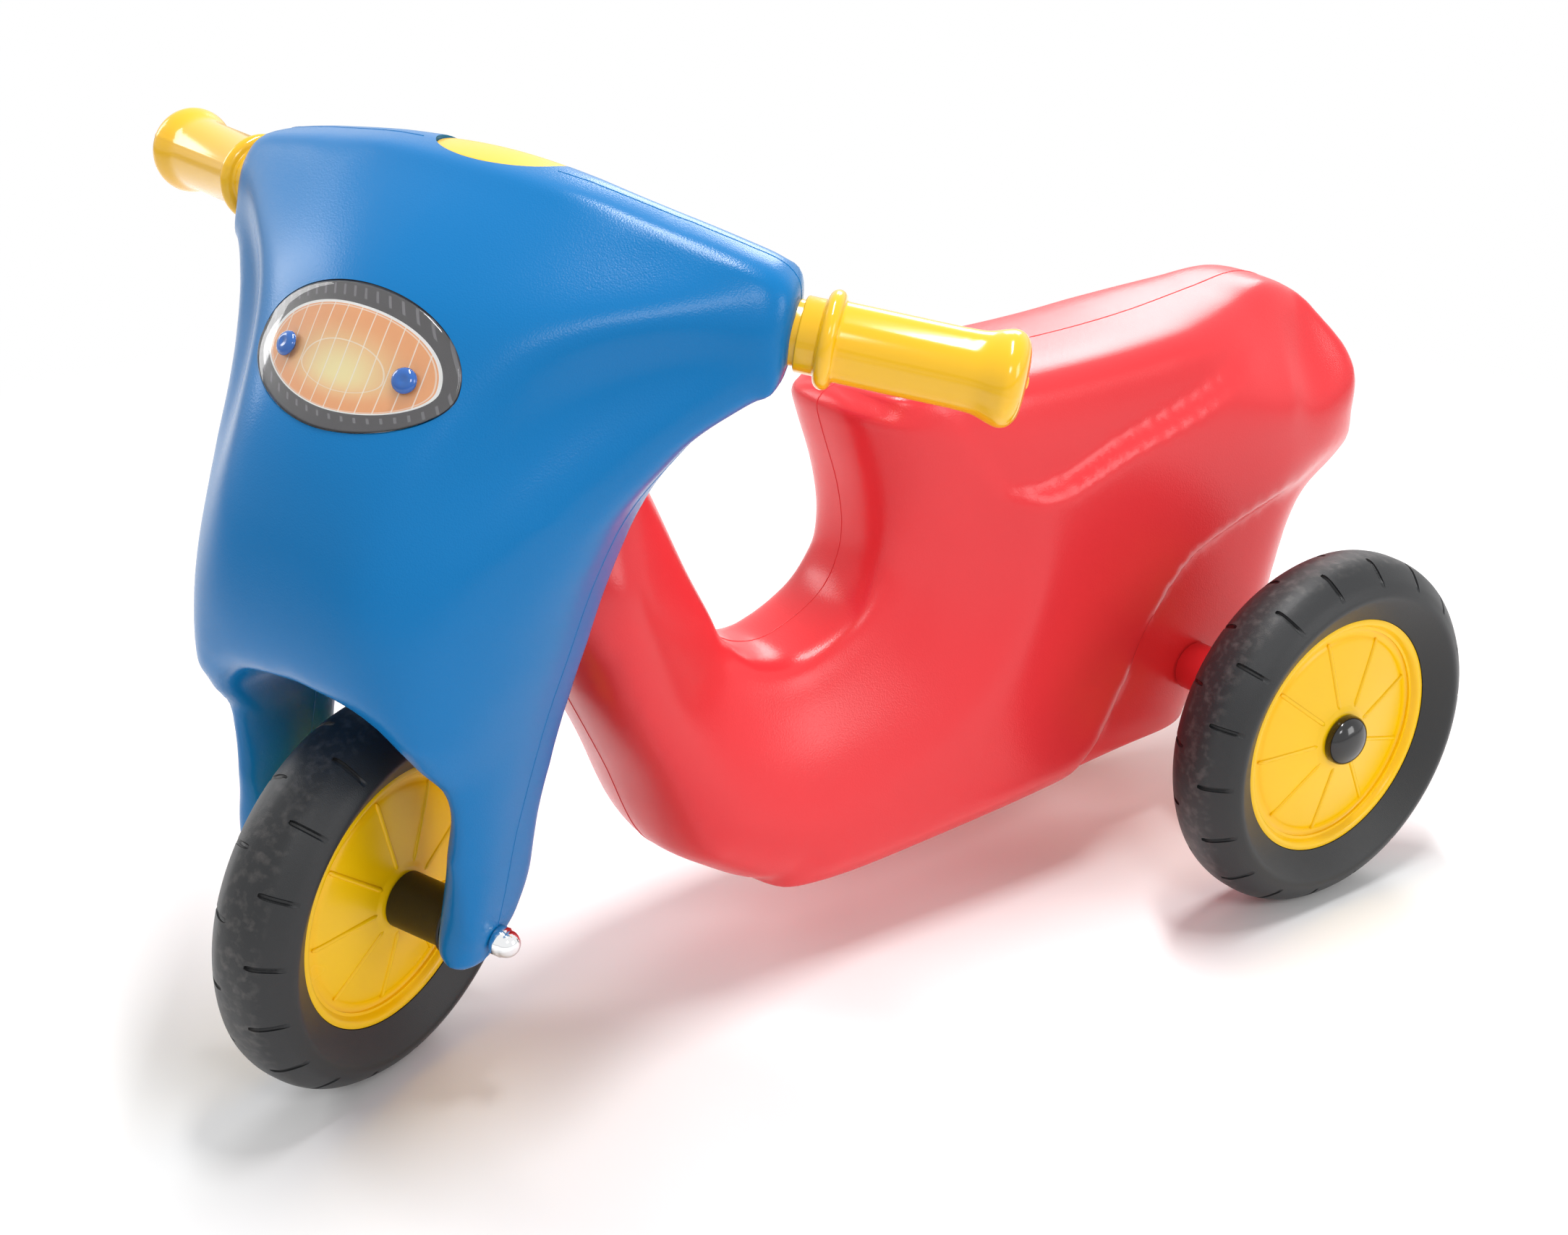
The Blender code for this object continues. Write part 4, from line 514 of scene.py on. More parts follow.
def body_half_width(flat, spans):
    """Half the body's width at each place of its side view."""
    y, height = flat[:, 0], flat[:, 1]
    nose_edge = rounding((1.0, 13.0), (3.0, 24.0), (7.0, 36.0), (12.0, 44.0), (20.0, 51.0), (40.0, 80.0))
    head_edge = rounding((2.0, 10.0), (6.0, 16.5), (13.0, 22.5), (26.0, 26.0), (38.0, 26.5), (48.0, 30.0),
                         (56.0, 35.0), (68.0, 43.0), (80.0, 54.0), (110.0, 100.0))
    flat_edge = rounding((0.35, 30.0), (1.6, 60.0), (4.5, 90.0), (20.0, 200.0))
    bottom_edge = rounding((0.35, 33.0), (1.6, 39.0), (4.5, 45.0), (9.0, 51.0), (20.0, 80.0))
    stern_edge = rounding((2.0, 13.0), (6.0, 22.0), (12.0, 29.0), (22.0, 37.0), (40.0, 52.0), (80.0, 90.0))
    transom_edge = rounding((1.0, 10.0), (4.0, 20.0), (10.0, 31.0), (20.0, 41.0), (35.0, 49.0), (60.0, 58.0),
                            (100.0, 80.0))
    seat_edge = rounding((0.35, 22.0), (1.6, 34.0), (4.5, 42.0), (9.0, 48.0), (15.0, 52.0), (30.0, 64.0),
                         (60.0, 100.0))
    horn_edge = rounding((0.35, 9.0), (1.6, 17.0), (4.5, 25.0), (9.0, 31.0), (16.0, 37.0), (28.0, 42.0),
                         (42.0, 46.5), (52.0, 51.0), (62.0, 58.0), (80.0, 80.0))
    floor_edge = rounding((0.35, 9.0), (1.6, 19.0), (4.5, 26.0), (9.0, 29.0), (20.0, 33.0), (40.0, 42.0),
                          (60.0, 52.0), (80.0, 70.0))
    column_edge = rounding((0.35, 7.0), (1.6, 14.0), (4.5, 21.0), (9.0, 26.0), (22.0, 37.0), (37.0, 51.0),
                           (60.0, 80.0))
    edges = [head_edge, flat_edge, nose_edge, bottom_edge, stern_edge, transom_edge, seat_edge, horn_edge,
             floor_edge, column_edge, head_edge, flat_edge]
    flank = BODY_HALF_WIDTH + (FLANK_HALF_WIDTH - BODY_HALF_WIDTH) * soft_step(y, *FLANK_WIDENS_OVER)
    flank = flank - wheel_arch_depth(flat) - side_panel_depth(flat)
    reach = [edge(span) for edge, span in zip(edges, spans)]
    start, end = TRANSOM_FULL_BELOW_SEAT
    upper = soft_step(height, SEAT_REAR_HEIGHT - start, SEAT_REAR_HEIGHT - end)
    reach[TRANSOM] = reach[TRANSOM] * (1.0 + TRANSOM_FULLNESS * upper)
    start, end = SEAT_EASE_BEFORE_TAIL
    hind = soft_step(y, TAIL_REACH - start, TAIL_REACH - end)
    reach[SEAT_TOP] = reach[SEAT_TOP] * (1.0 - SEAT_EDGE_EASE * hind)
    return smallest(flank, *reach)


def eased(mesh, passes, rim_count=0):
    """The mesh with its folds drawn out, as blown plastic draws them in a mould.

    With a rim count, the mesh near its first vertices stays as it is, and only the open faces are eased.
    """
    holder = in_scene(mesh.name, mesh)
    easing = holder.modifiers.new("easing", 'SMOOTH')
    easing.factor = 0.5
    easing.iterations = passes
    if rim_count:
        rim = KDTree(rim_count)
        for corner in mesh.vertices[:rim_count]:
            rim.insert(corner.co, corner.index)
        rim.balance()
        faces = holder.vertex_groups.new(name="open_faces")
        for corner in mesh.vertices:
            distance = rim.find(corner.co)[2] / MM
            faces.add([corner.index], float(soft_step(distance, FIRM_RIM, 3.0 * FIRM_RIM)), 'REPLACE')
        easing.vertex_group = faces.name
    done = worked_mesh(holder)
    bpy.data.objects.remove(holder)
    bpy.data.meshes.remove(mesh)
    return done


def body_side(sign):
    """One side of the body, left for 1 and right for -1, as a half of its moulding."""
    def side(flat, spans):
        width = body_half_width(flat, spans) * sign
        width[spans_on_outline(spans)] = 0.0
        return np.stack([width, flat[:, 0], flat[:, 1]], 1) + np.array(GROUND) / MM
    return side


creases = [(arch_crease(), ARCH_EDGE), (panel_crease(), PANEL_EDGE)]
body_mesh = eased(moulding("body_moulding", body_edges(), body_side(1), body_side(-1), creases), BODY_EASING)
shown("body_moulding", body_mesh, red, "body", "red_plastic", "body_shell")


def mould_line(name, points, radius):
    """The fine raised line where the halves of a mould meet, as a thin round strip through points in mm."""
    curve = bpy.data.curves.new(name, 'CURVE')
    curve.dimensions = '3D'
    curve.bevel_depth = radius * MM
    curve.bevel_resolution = 1
    run = curve.splines.new('POLY')
    run.points.add(len(points) - 1)
    for mark, point in zip(run.points, points):
        mark.co = (*(Vector(point) * MM), 1.0)
    holder = in_scene(name, curve)
    mesh = worked_mesh(holder)
    bpy.data.objects.remove(holder)
    mesh.materials.clear()
    return mesh


counts = [len(line) - 1 for line in closed_lines(body_edges(), OUTLINE_STEP)]
seam_start, seam_end = sum(counts[:CHIN]), sum(counts[:COLUMN_BACK + 1])
seam = [corner.co / MM for corner in body_mesh.vertices[seam_start:seam_end]]
body_line = mould_line("body_mould_line", seam, BODY_LINE)
shown("body_mould_line", body_line, red, "body", "red_plastic")


# Fairing with the fork
# The real one is a second blow-moulding: a broad front that narrows into two fork legs below and
# reaches out to the grips above, open at the back round the column's head. Its parting line runs
# down the outer side of each leg. The steering pin holds it on the column.

STEER_AT_REST = math.radians(24.0)
FIT = 0.3
BUSH_FLANGE = 2.0

# Sizes of the front, the shoulders and the fork, with heights measured from the front axle.
SHOULDER_HALF_SPAN = 120.5
SHOULDER_HEIGHT = 238.5
SHOULDER_HALF_HEIGHT = 23.8
SHOULDER_SET_BACK = 33.5
SHOULDER_FRONT_DEPTH = 17.0
SHOULDER_BACK_DEPTH = 21.0
FORK_GAP_HALF_WIDTH = 41.0
FORK_LEG_WIDTH = 18.5
FORK_TIP_DROP = 12.5
ARCH_ROOF_HEIGHT = 103.0
LEG_BACK_DEPTH = 24.5
FLANK_SWELL = 0.055
FLANK_SWELL_START = 25.0
TOP_BACK_FULLNESS = 0.85
CROWN_BACK_SWELL = 14.0
TOP_MIDDLE_REACH = 62.0
GRIP_SWEEP = math.radians(21.3)
FAIRING_LINE = 0.18
FAIRING_EASING = 6
FACE_EASING = 45
FLANK_EDGES, TOP_EDGES = (3, -4), (5, -6)

# The parting face and the front across: a little bow everywhere, more from the headlight up, and most
# of it outside the middle.
SEAM_BEFORE_AXIS = 2.0
MIDDLE_SET_BACK, OUTER_SET_BACK = 0.075, 0.925
FRONT_BOW = 0.0018
UPPER_BOW = 0.0137
BOW_POWER = 1.75
OUTER_BOW = 0.0009
OUTER_BOW_START = 50.0

# Sizes of what is cut from it: the hollow for the column's head, the headlight's pocket, the cap's seat.
RECESS_RADIUS = 30.0
RECESS_HALF_WIDTH = 64.0
RECESS_FLARE = 15.0
RECESS_BACK = 110.0
RECESS_STEPS = 8
LIGHT_HEIGHT = 222.7
LIGHT_HALF_WIDTH = 43.6
LIGHT_UPPER_HEIGHT = 26.4
LIGHT_LOWER_HEIGHT = 15.8
LIGHT_POCKET_DEPTH = 4.0
TOP_CAP_HALF_LENGTH = 27.0
TOP_CAP_HALF_WIDTH = 18.7
TOP_CAP_THICKNESS = 3.0
TOP_CAP_DROP = 1.5
TOP_CAP_BACK_DROP = 4.5
TOP_CAP_SET_BACK = 9.2
TOP_CAP_TILT = math.radians(7.0)
LINE_CLEAR_OF_CAP = TOP_CAP_HALF_LENGTH + 2.0
ABOVE_CROWN = 30.0
BEFORE_FACE = 20.0
OVAL_STEPS = 96
LIGHT_STEPS = 120

FAIRING_BLUE = (0.0, 0.172, 0.465)
WEB_TOP = HEAD_BOTTOM - 2 * FIT - BUSH_FLANGE
RECESS_ROOF = HEAD_TOP + 2 * FIT + BUSH_FLANGE
PIVOT = Vector(JOINTS["steering"]["pos_m"])
AXIS = Vector((0.0, math.sin(RAKE), math.cos(RAKE)))
STEERED = Matrix.Translation(PIVOT) @ Quaternion(AXIS, STEER_AT_REST).to_matrix().to_4x4()

blue = plastic("blue_plastic", FAIRING_BLUE, roughness=0.24, grain=0.22, grain_size=0.7, gloss_level=0.26)


def largest(first, second):
    """The greater of two sizes, with the corner between them rounded."""
    return (np.maximum(first, 0.1) ** BLEND_POWER + second ** BLEND_POWER) ** (1.0 / BLEND_POWER)


def fairing_edges():
    """The fairing's front view as named edges, all the way round."""
    crown, span, high = CROWN_HEIGHT, SHOULDER_HALF_SPAN, SHOULDER_HEIGHT
    half, gap, leg = SHOULDER_HALF_HEIGHT, FORK_GAP_HALF_WIDTH, FORK_LEG_WIDTH
    roof = ARCH_ROOF_HEIGHT
    low = high - half
    top = [(span - 7.0, high + half), (0.87 * span, high + half + 3.6), (0.65 * span, high + half + 10.9),
           (0.33 * span, crown - 2.0), (0.0, crown)]
    end = [(span - 5.0, low + 2.5), (span - 0.8, low + 6.0), (span, low + 13.0), (span, high + 9.0),
           (span - 1.5, high + half - 6.0), (span - 7.0, high + half)]
    flank = [(gap + leg - 1.0, 12.0 - FORK_TIP_DROP), (gap + leg + 0.5, 20.0), (gap + leg + 1.0, 42.0),
             (gap + leg + 3.1, 66.0), (gap + leg + 6.4, 92.0), (gap + leg + 10.7, 116.0),
             (gap + leg + 14.5, 138.0), (gap + leg + 18.0, low - 62.0), (gap + leg + 24.3, low - 41.0),
             (gap + leg + 33.7, low - 23.0), (gap + leg + 41.5, low - 11.0), (span - 5.0, low + 2.5)]
    tip = [(gap, 4.5 - FORK_TIP_DROP), (gap + 2.5, 0.7 - FORK_TIP_DROP), (gap + 0.5 * leg, -FORK_TIP_DROP),
           (gap + leg - 4.0, 2.5 - FORK_TIP_DROP), (gap + leg - 1.0, 12.0 - FORK_TIP_DROP)]
    inner = [(gap + 0.5, roof - 33.0), (gap, roof - 60.0), (gap, 4.5 - FORK_TIP_DROP)]
    arch = [(0.0, roof), (gap - 27.0, roof - 0.7), (gap - 12.0, roof - 3.5), (gap - 3.0, roof - 13.0),
            (gap + 0.5, roof - 33.0)]
    right = [arch, inner, tip, flank, end, top]
    left = [[(-x, h) for x, h in reversed(edge)] for edge in reversed(right)]
    return right + left


def seam_back(x, height):
    """How far behind the front axle the fairing's parting face lies."""
    high = SHOULDER_HEIGHT
    raised = soft_step(height, high - 84.0, high)
    outer = np.clip(np.abs(x) / SHOULDER_HALF_SPAN, 0.0, 1.0) ** 2
    spread = MIDDLE_SET_BACK + OUTER_SET_BACK * outer
    return height * math.tan(RAKE) - SEAM_BEFORE_AXIS + SHOULDER_SET_BACK * raised * spread


def front_centre(x, height):
    """The front face of the fairing, away from its edges, as a place along Y."""
    light, crown, roof = LIGHT_HEIGHT, CROWN_HEIGHT, ARCH_ROOF_HEIGHT
    line = through([(-20.0, -14.0), (0.0, -16.0), (22.0, -19.0), (49.0, -22.5), (76.0, -31.0),
                    (roof - 5.0, -45.5), (roof + 15.0, -49.5), (roof + 34.0, -52.3), (roof + 64.0, -48.3),
                    (light - 25.0, -37.0), (light - 1.0, -20.2), (light + 26.5, 0.5), (crown - 21.0, 18.7),
                    (crown - 10.5, 33.5), (crown - 4.5, 54.0)])
    upper = soft_step(height, roof + 37.0, light - 5.0)
    bow = (FRONT_BOW + UPPER_BOW * upper) * np.abs(x) ** BOW_POWER
    return line(height) + bow + OUTER_BOW * upper * np.maximum(np.abs(x) - OUTER_BOW_START, 0.0) ** 2


def fairing_front_depth(flat, spans):
    """How far the front half stands out from the parting face."""
    top_edge = rounding((0.35, 9.0), (1.6, 17.0), (4.5, 26.0), (9.0, 37.0), (15.0, 58.0), (30.0, 120.0))
    end_edge = rounding((0.35, 10.0), (1.6, 16.0), (4.5, 22.0), (9.0, 38.0), (30.0, 120.0))
    flank_edge = rounding((0.35, 9.0), (1.6, 19.0), (4.5, 31.0), (9.0, 43.0), (15.0, 54.0), (25.0, 66.0),
                          (45.0, 84.0), (80.0, 120.0))
    tip_edge = rounding((0.35, 4.5), (1.6, 8.5), (4.5, 13.0), (9.0, 18.0), (20.0, 28.0), (40.0, 60.0))
    inner_edge = rounding((0.35, 9.0), (1.6, 17.0), (4.5, 28.0), (9.0, 46.0), (20.0, 120.0))
    arch_edge = rounding((0.35, 30.0), (1.6, 52.0), (4.5, 68.0), (9.0, 100.0), (20.0, 200.0))
    right = [arch_edge, inner_edge, tip_edge, flank_edge, end_edge, top_edge]
    edges = right + right[::-1]
    x, height = flat[:, 0], flat[:, 1]
    centre = largest(seam_back(x, height) - front_centre(x, height), SHOULDER_FRONT_DEPTH)
    reach = [edge(span) for edge, span in zip(edges, spans)]
    roof, high = ARCH_ROOF_HEIGHT, SHOULDER_HEIGHT
    low_end, high_end = roof - 43.0, high - 3.5
    fullness = through([(low_end, 1.11), (roof - 3.0, 1.38), (roof + 22.0, 1.24), (roof + 47.0, 1.08),
                        (high - 63.5, 0.88), (high - 33.5, 0.56), (high_end, 0.31)])
    fuller = fullness(np.clip(height, low_end, high_end))
    for flank in FLANK_EDGES:
        swell = FLANK_SWELL * np.maximum(spans[flank] - FLANK_SWELL_START, 0.0) ** 2
        reach[flank] = reach[flank] * fuller + swell
    return smallest(centre, *reach)


def fairing_back_depth(flat, spans):
    """How far the back half stands out from the parting face."""
    leg_edge = rounding((0.35, 13.5), (1.6, 27.0), (4.5, 42.0), (9.0, 61.0), (20.0, 136.0))
    tip_edge = rounding((0.35, 4.5), (1.6, 8.5), (4.5, 13.0), (9.0, 18.0), (20.0, 28.0), (40.0, 60.0))
    end_edge = rounding((0.35, 7.0), (1.6, 12.0), (4.5, 18.0), (9.0, 26.0), (20.0, 60.0))
    top_edge = rounding((0.35, 3.0), (1.6, 7.0), (4.5, 11.5), (9.0, 16.0), (20.0, 24.0), (40.0, 60.0))
    roof_edge = rounding((0.35, 12.0), (1.6, 20.0), (4.5, 40.0), (20.0, 120.0))
    right = [roof_edge, leg_edge, tip_edge, leg_edge, end_edge, top_edge]
    edges = right + right[::-1]
    x, height = flat[:, 0], flat[:, 1]
    high = SHOULDER_HEIGHT
    plain = through([(-20.0, LEG_BACK_DEPTH), (10.0, LEG_BACK_DEPTH), (40.0, LEG_BACK_DEPTH - 6.5),
                     (80.0, LEG_BACK_DEPTH - 8.8), (ARCH_ROOF_HEIGHT + 14.0, LEG_BACK_DEPTH - 8.7),
                     (high - 80.0, LEG_BACK_DEPTH - 6.1), (high - 30.0, SHOULDER_BACK_DEPTH - 1.0),
                     (high, SHOULDER_BACK_DEPTH)])(np.minimum(height, high))
    middle = 1.0 - soft_step(np.abs(x), 0.0, TOP_MIDDLE_REACH)
    crown = CROWN_BACK_SWELL * soft_step(height, high - 20.0, high + 20.0) * middle
    reach = [edge(span) for edge, span in zip(edges, spans)]
    for top in TOP_EDGES:
        reach[top] = reach[top] * (1.0 + TOP_BACK_FULLNESS * middle)
    return smallest(plain + crown, *reach)


def shear_ends(x, forward):
    """Slides the shoulder ends so that they face along the swept grips."""
    ramp = soft_step(np.abs(x), 0.5 * SHOULDER_HALF_SPAN, SHOULDER_HALF_SPAN)
    return x + np.sign(x) * math.tan(GRIP_SWEEP) * forward * ramp


def fairing_front(flat, spans):
    """The front half of the fairing's moulding, as places in space."""
    depth = fairing_front_depth(flat, spans)
    depth[spans_on_outline(spans)] = 0.0
    x, height = flat[:, 0], flat[:, 1]
    return np.stack([shear_ends(x, depth), seam_back(x, height) - depth, height], 1)


def fairing_back(flat, spans):
    """The back half of the fairing's moulding, as places in space."""
    depth = fairing_back_depth(flat, spans)
    depth[spans_on_outline(spans)] = 0.0
    x, height = flat[:, 0], flat[:, 1]
    return np.stack([shear_ends(x, -depth), seam_back(x, height) + depth, height], 1)


def recess_mesh():
    """The hollow for the column's head: round in front of the pin and open at the back."""
    outline = []
    for k in range(RECESS_STEPS + 1):
        angle = math.radians(180.0 + 180.0 / RECESS_STEPS * k)
        outline.append((RECESS_RADIUS * math.cos(angle), RECESS_RADIUS * math.sin(angle)))
    outline += [(RECESS_HALF_WIDTH, RECESS_FLARE), (RECESS_HALF_WIDTH, RECESS_BACK),
                (-RECESS_HALF_WIDTH, RECESS_BACK), (-RECESS_HALF_WIDTH, RECESS_FLARE)]
    count = len(outline)
    points = [axis_place(u, b, x) for u in (WEB_TOP, RECESS_ROOF) for x, b in outline]
    faces = [list(range(count)), list(range(count, 2 * count))]
    faces += [[i, (i + 1) % count, count + (i + 1) % count, count + i] for i in range(count)]
    return closed_mesh("recess_guide", points, faces)


def plate_faces(rings, steps):
    """The faces of a round plate: a disc of rings about its centre on each side, and its rim."""
    count = 1 + rings * steps
    faces = []
    for base in (0, count):
        for k in range(steps):
            after = (k + 1) % steps
            faces.append([base, base + 1 + k, base + 1 + after])
            for ring in range(rings - 1):
                a = base + 1 + ring * steps
                faces.append([a + k, a + after, a + steps + after, a + steps + k])
    rim = 1 + (rings - 1) * steps
    return faces + [[rim + k, rim + (k + 1) % steps, count + rim + (k + 1) % steps, count + rim + k]
                    for k in range(steps)]


def oval_patch(name, margin, front, back, rings, steps):
    """An egg-shaped plate that follows the fairing's front face, from one offset to another behind it."""
    flat = [(0.0, 0.0)]
    for ring in range(1, rings + 1):
        for k in range(steps):
            angle = (k + 0.5) * math.tau / steps
            tall = LIGHT_UPPER_HEIGHT if angle < math.pi else LIGHT_LOWER_HEIGHT
            flat.append(((LIGHT_HALF_WIDTH + margin) * ring / rings * math.cos(angle),
                         (tall + margin) * ring / rings * math.sin(angle)))
    x = np.array([place[0] for place in flat])
    height = np.array([place[1] for place in flat]) + LIGHT_HEIGHT
    face = front_centre(x, height)
    points = [(x[i], face[i] + offset, height[i]) for offset in (front, back) for i in range(len(flat))]
    return closed_mesh(name, points, plate_faces(rings, steps))


def cap_mesh_on_crown(name, margin, low, high, rings, steps):
    """An oval plate on the crown, longest across the vehicle and bowed down to its rim, most at the back."""
    centre = Vector((0.0, CROWN_HEIGHT * math.tan(RAKE) + TOP_CAP_SET_BACK,
                     CROWN_HEIGHT - TOP_CAP_DROP - TOP_CAP_THICKNESS))
    points = []
    for z in (low, high):
        points.append((0.0, 0.0, z))
        for ring in range(1, rings + 1):
            part = ring / rings
            for k in range(steps):
                angle = (k + 0.5) * math.tau / steps
                drop = TOP_CAP_DROP * part * part + TOP_CAP_BACK_DROP * max(0.0, part * math.sin(angle)) ** 2
                points.append(((TOP_CAP_HALF_LENGTH + margin) * part * math.cos(angle),
                               (TOP_CAP_HALF_WIDTH + margin) * part * math.sin(angle), z - drop))
    place = Matrix.Translation(centre * MM) @ Matrix.Rotation(-TOP_CAP_TILT, 4, 'X')
    return closed_mesh(name, points, plate_faces(rings, steps), place)


def cut(mesh, *tools):
    """The mesh with closed tools cut out of it for good."""
    piece = in_scene(mesh.name, mesh)
    for tool in tools:
        guide = in_scene(tool.name, tool)
        change = piece.modifiers.new(tool.name, 'BOOLEAN')
        change.operation = 'DIFFERENCE'
        change.solver = 'EXACT'
        change.object = guide
        done = worked_mesh(piece)
        piece.modifiers.remove(change)
        piece.data = done
        bpy.data.meshes.remove(mesh)
        bpy.data.objects.remove(guide)
        bpy.data.meshes.remove(tool)
        mesh = done
    bpy.data.objects.remove(piece)
    return mesh


fairing_mesh = moulding("fairing_moulding", fairing_edges(), fairing_front, fairing_back)
fairing_mesh = eased(fairing_mesh, FAIRING_EASING)
rim_count = sum(len(line) - 1 for line in closed_lines(fairing_edges(), OUTLINE_STEP))
fairing_mesh = eased(fairing_mesh, FACE_EASING, rim_count)
rim_line = [corner.co / MM for corner in fairing_mesh.vertices[:rim_count]]
cap_seat = cap_mesh_on_crown("cap_seat", FIT, -FIT, ABOVE_CROWN, rings=3, steps=OVAL_STEPS)
light_seat = oval_patch("light_seat", FIT, -BEFORE_FACE, LIGHT_POCKET_DEPTH, rings=8, steps=LIGHT_STEPS)
fairing_mesh = cut(fairing_mesh, recess_mesh(), cap_seat, light_seat)
fairing_mesh.transform(STEERED)
shown("fairing_moulding", fairing_mesh, blue, "fork", "blue_plastic", "fairing", sharp=40.0)

under_cap = [i for i, place in enumerate(rim_line)
             if place.z > SHOULDER_HEIGHT and abs(place.x) < LINE_CLEAR_OF_CAP]
for side, run in (("left", rim_line[:min(under_cap)]), ("right", rim_line[max(under_cap) + 1:])):
    strip = mould_line(f"fairing_mould_line_{side}", run, FAIRING_LINE)
    strip.transform(STEERED)
    shown(f"fairing_mould_line_{side}", strip, blue, "fork", "blue_plastic")


# Crown cap
# A moulded yellow plastic oval that snaps into the crown over the head of the steering pin, bowed
# like the crown round it.

CAP_EDGE = 0.7
CAP_YELLOW = (0.93, 0.56, 0.02)

cap_yellow = plastic("crown_cap_plastic", CAP_YELLOW, roughness=0.24, grain=0.05, grain_size=0.9)


def softened(mesh, width, steps=3):
    """The mesh with its hard edges rounded over."""
    holder = in_scene(mesh.name, mesh)
    rounded = holder.modifiers.new("rounded", 'BEVEL')
    rounded.width = width * MM
    rounded.segments = steps
    rounded.limit_method = 'ANGLE'
    rounded.angle_limit = math.radians(40.0)
    done = worked_mesh(holder)
    bpy.data.objects.remove(holder)
    bpy.data.meshes.remove(mesh)
    return done


cap_blank = cap_mesh_on_crown("crown_cap_blank", 0.0, 0.0, TOP_CAP_THICKNESS, rings=10, steps=OVAL_STEPS)
cap = softened(cap_blank, CAP_EDGE)
cap.transform(STEERED)
shown("crown_cap", cap, cap_yellow, "fork", "yellow_plastic", "top_cap")


# Steering pin, washer, nut and bushes
# A zinc-plated steel pin holds the fairing on the column. It turns in two black nylon bushes, and a
# washer and a nut close it under the fork's web.

PLATE_GREY = (0.66, 0.66, 0.64)
NYLON_BLACK = (0.012, 0.012, 0.013)
MARK_SCALE = 420.0
MARK_DEPTH = 0.05
POLISH_SWING = (0.7, 1.5)


def metal(name, colour, roughness, scratch):
    """Bright metal with faint marks in it and an uneven polish."""
    material, nodes, links, shader = new_material(name)
    shader.inputs["Base Color"].default_value = (*colour, 1)
    shader.inputs["Metallic"].default_value = 1.0
    marks = noise(nodes, links, MARK_SCALE, 4.0)
    polish(nodes, links, shader, marks, roughness * POLISH_SWING[0], roughness * POLISH_SWING[1])
    relief(nodes, links, shader, marks, scratch, MARK_DEPTH)
    return material


def dress(material, *nodes):
    """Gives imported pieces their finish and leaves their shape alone."""
    for name in nodes:
        mesh = frame["nodes"][name].data
        mesh.materials.clear()
        mesh.materials.append(material)


plated = metal("zinc_plate", PLATE_GREY, roughness=0.3, scratch=0.2)
nylon = plastic("black_nylon", NYLON_BLACK, roughness=0.42, grain=0.1, grain_size=0.6)
dress(plated, "steering_pin", "steering_washer", "steering_nut", "rear_axle", "front_axle")
dress(nylon, "steering_bush_upper", "steering_bush_lower", "front_hub_bush", "rear_left_hub_bush",
      "rear_right_hub_bush")


# Grips
# Hard glossy yellow plastic mouldings, pushed into the ends of the fairing by their plugs. Each has
# a bead that keeps the hand in place, a flared round end, and the fine lines of its two-part mould.

GRIP_DROP = math.radians(5.2)
GRIP_RADIUS = 14.5
GRIP_END_RADIUS = 17.6
GRIP_BEAD_RADIUS = 18.0
GRIP_BEAD_WIDTH = 6.5
GRIP_LENGTH = 64.0
GRIP_COLLAR_LENGTH = 9.0
GRIP_PLUG_RADIUS = 12.0
GRIP_PLUG_LENGTH = 38.0
RUNNING = 0.3
GRIP_STEPS = 120
MOULD_LINE = 0.18
BEAD_STEPS = 15
BEAD_TURN = 12.0
GRIP_YELLOW = (0.94, 0.52, 0.0)

grip_yellow = plastic("grip_plastic", GRIP_YELLOW, roughness=0.15, grain=0.03, grain_size=1.2, coat=0.3)


def turned(name, profile, steps, place=None, phase=0.0):
    """A piece turned about the X axis, from (x, radius) points along its outline.

    Points at radius 0 at both ends close a solid piece. Otherwise the outline closes on itself.
    """
    points, rings = [], []
    for x, radius in profile:
        if radius == 0:
            rings.append([len(points)])
            points.append((x, 0.0, 0.0))
            continue
        rings.append(list(range(len(points), len(points) + steps)))
        for k in range(steps):
            angle = phase + (k + 0.5) * math.tau / steps
            points.append((x, radius * math.cos(angle), radius * math.sin(angle)))
    pairs = list(zip(rings, rings[1:]))
    if len(rings[0]) > 1:
        pairs.append((rings[-1], rings[0]))
    faces = []
    for one, two in pairs:
        for k in range(steps):
            loop = [one[k % len(one)], one[(k + 1) % len(one)], two[(k + 1) % len(two)], two[k % len(two)]]
            faces.append(list(dict.fromkeys(loop)))
    return closed_mesh(name, points, faces, place)


def grip_frame(sign):
    """Turns a piece made along X so that it lies along one swept grip, with X pointing outwards."""
    out = Vector((sign * math.cos(GRIP_SWEEP) * math.cos(GRIP_DROP),
                  math.sin(GRIP_SWEEP) * math.cos(GRIP_DROP), -math.sin(GRIP_DROP)))
    seat = Vector((sign * SHOULDER_HALF_SPAN,
                   float(seam_back(SHOULDER_HALF_SPAN, SHOULDER_HEIGHT)), SHOULDER_HEIGHT))
    return Matrix.Translation(seat * MM) @ Vector((1, 0, 0)).rotation_difference(out).to_matrix().to_4x4()


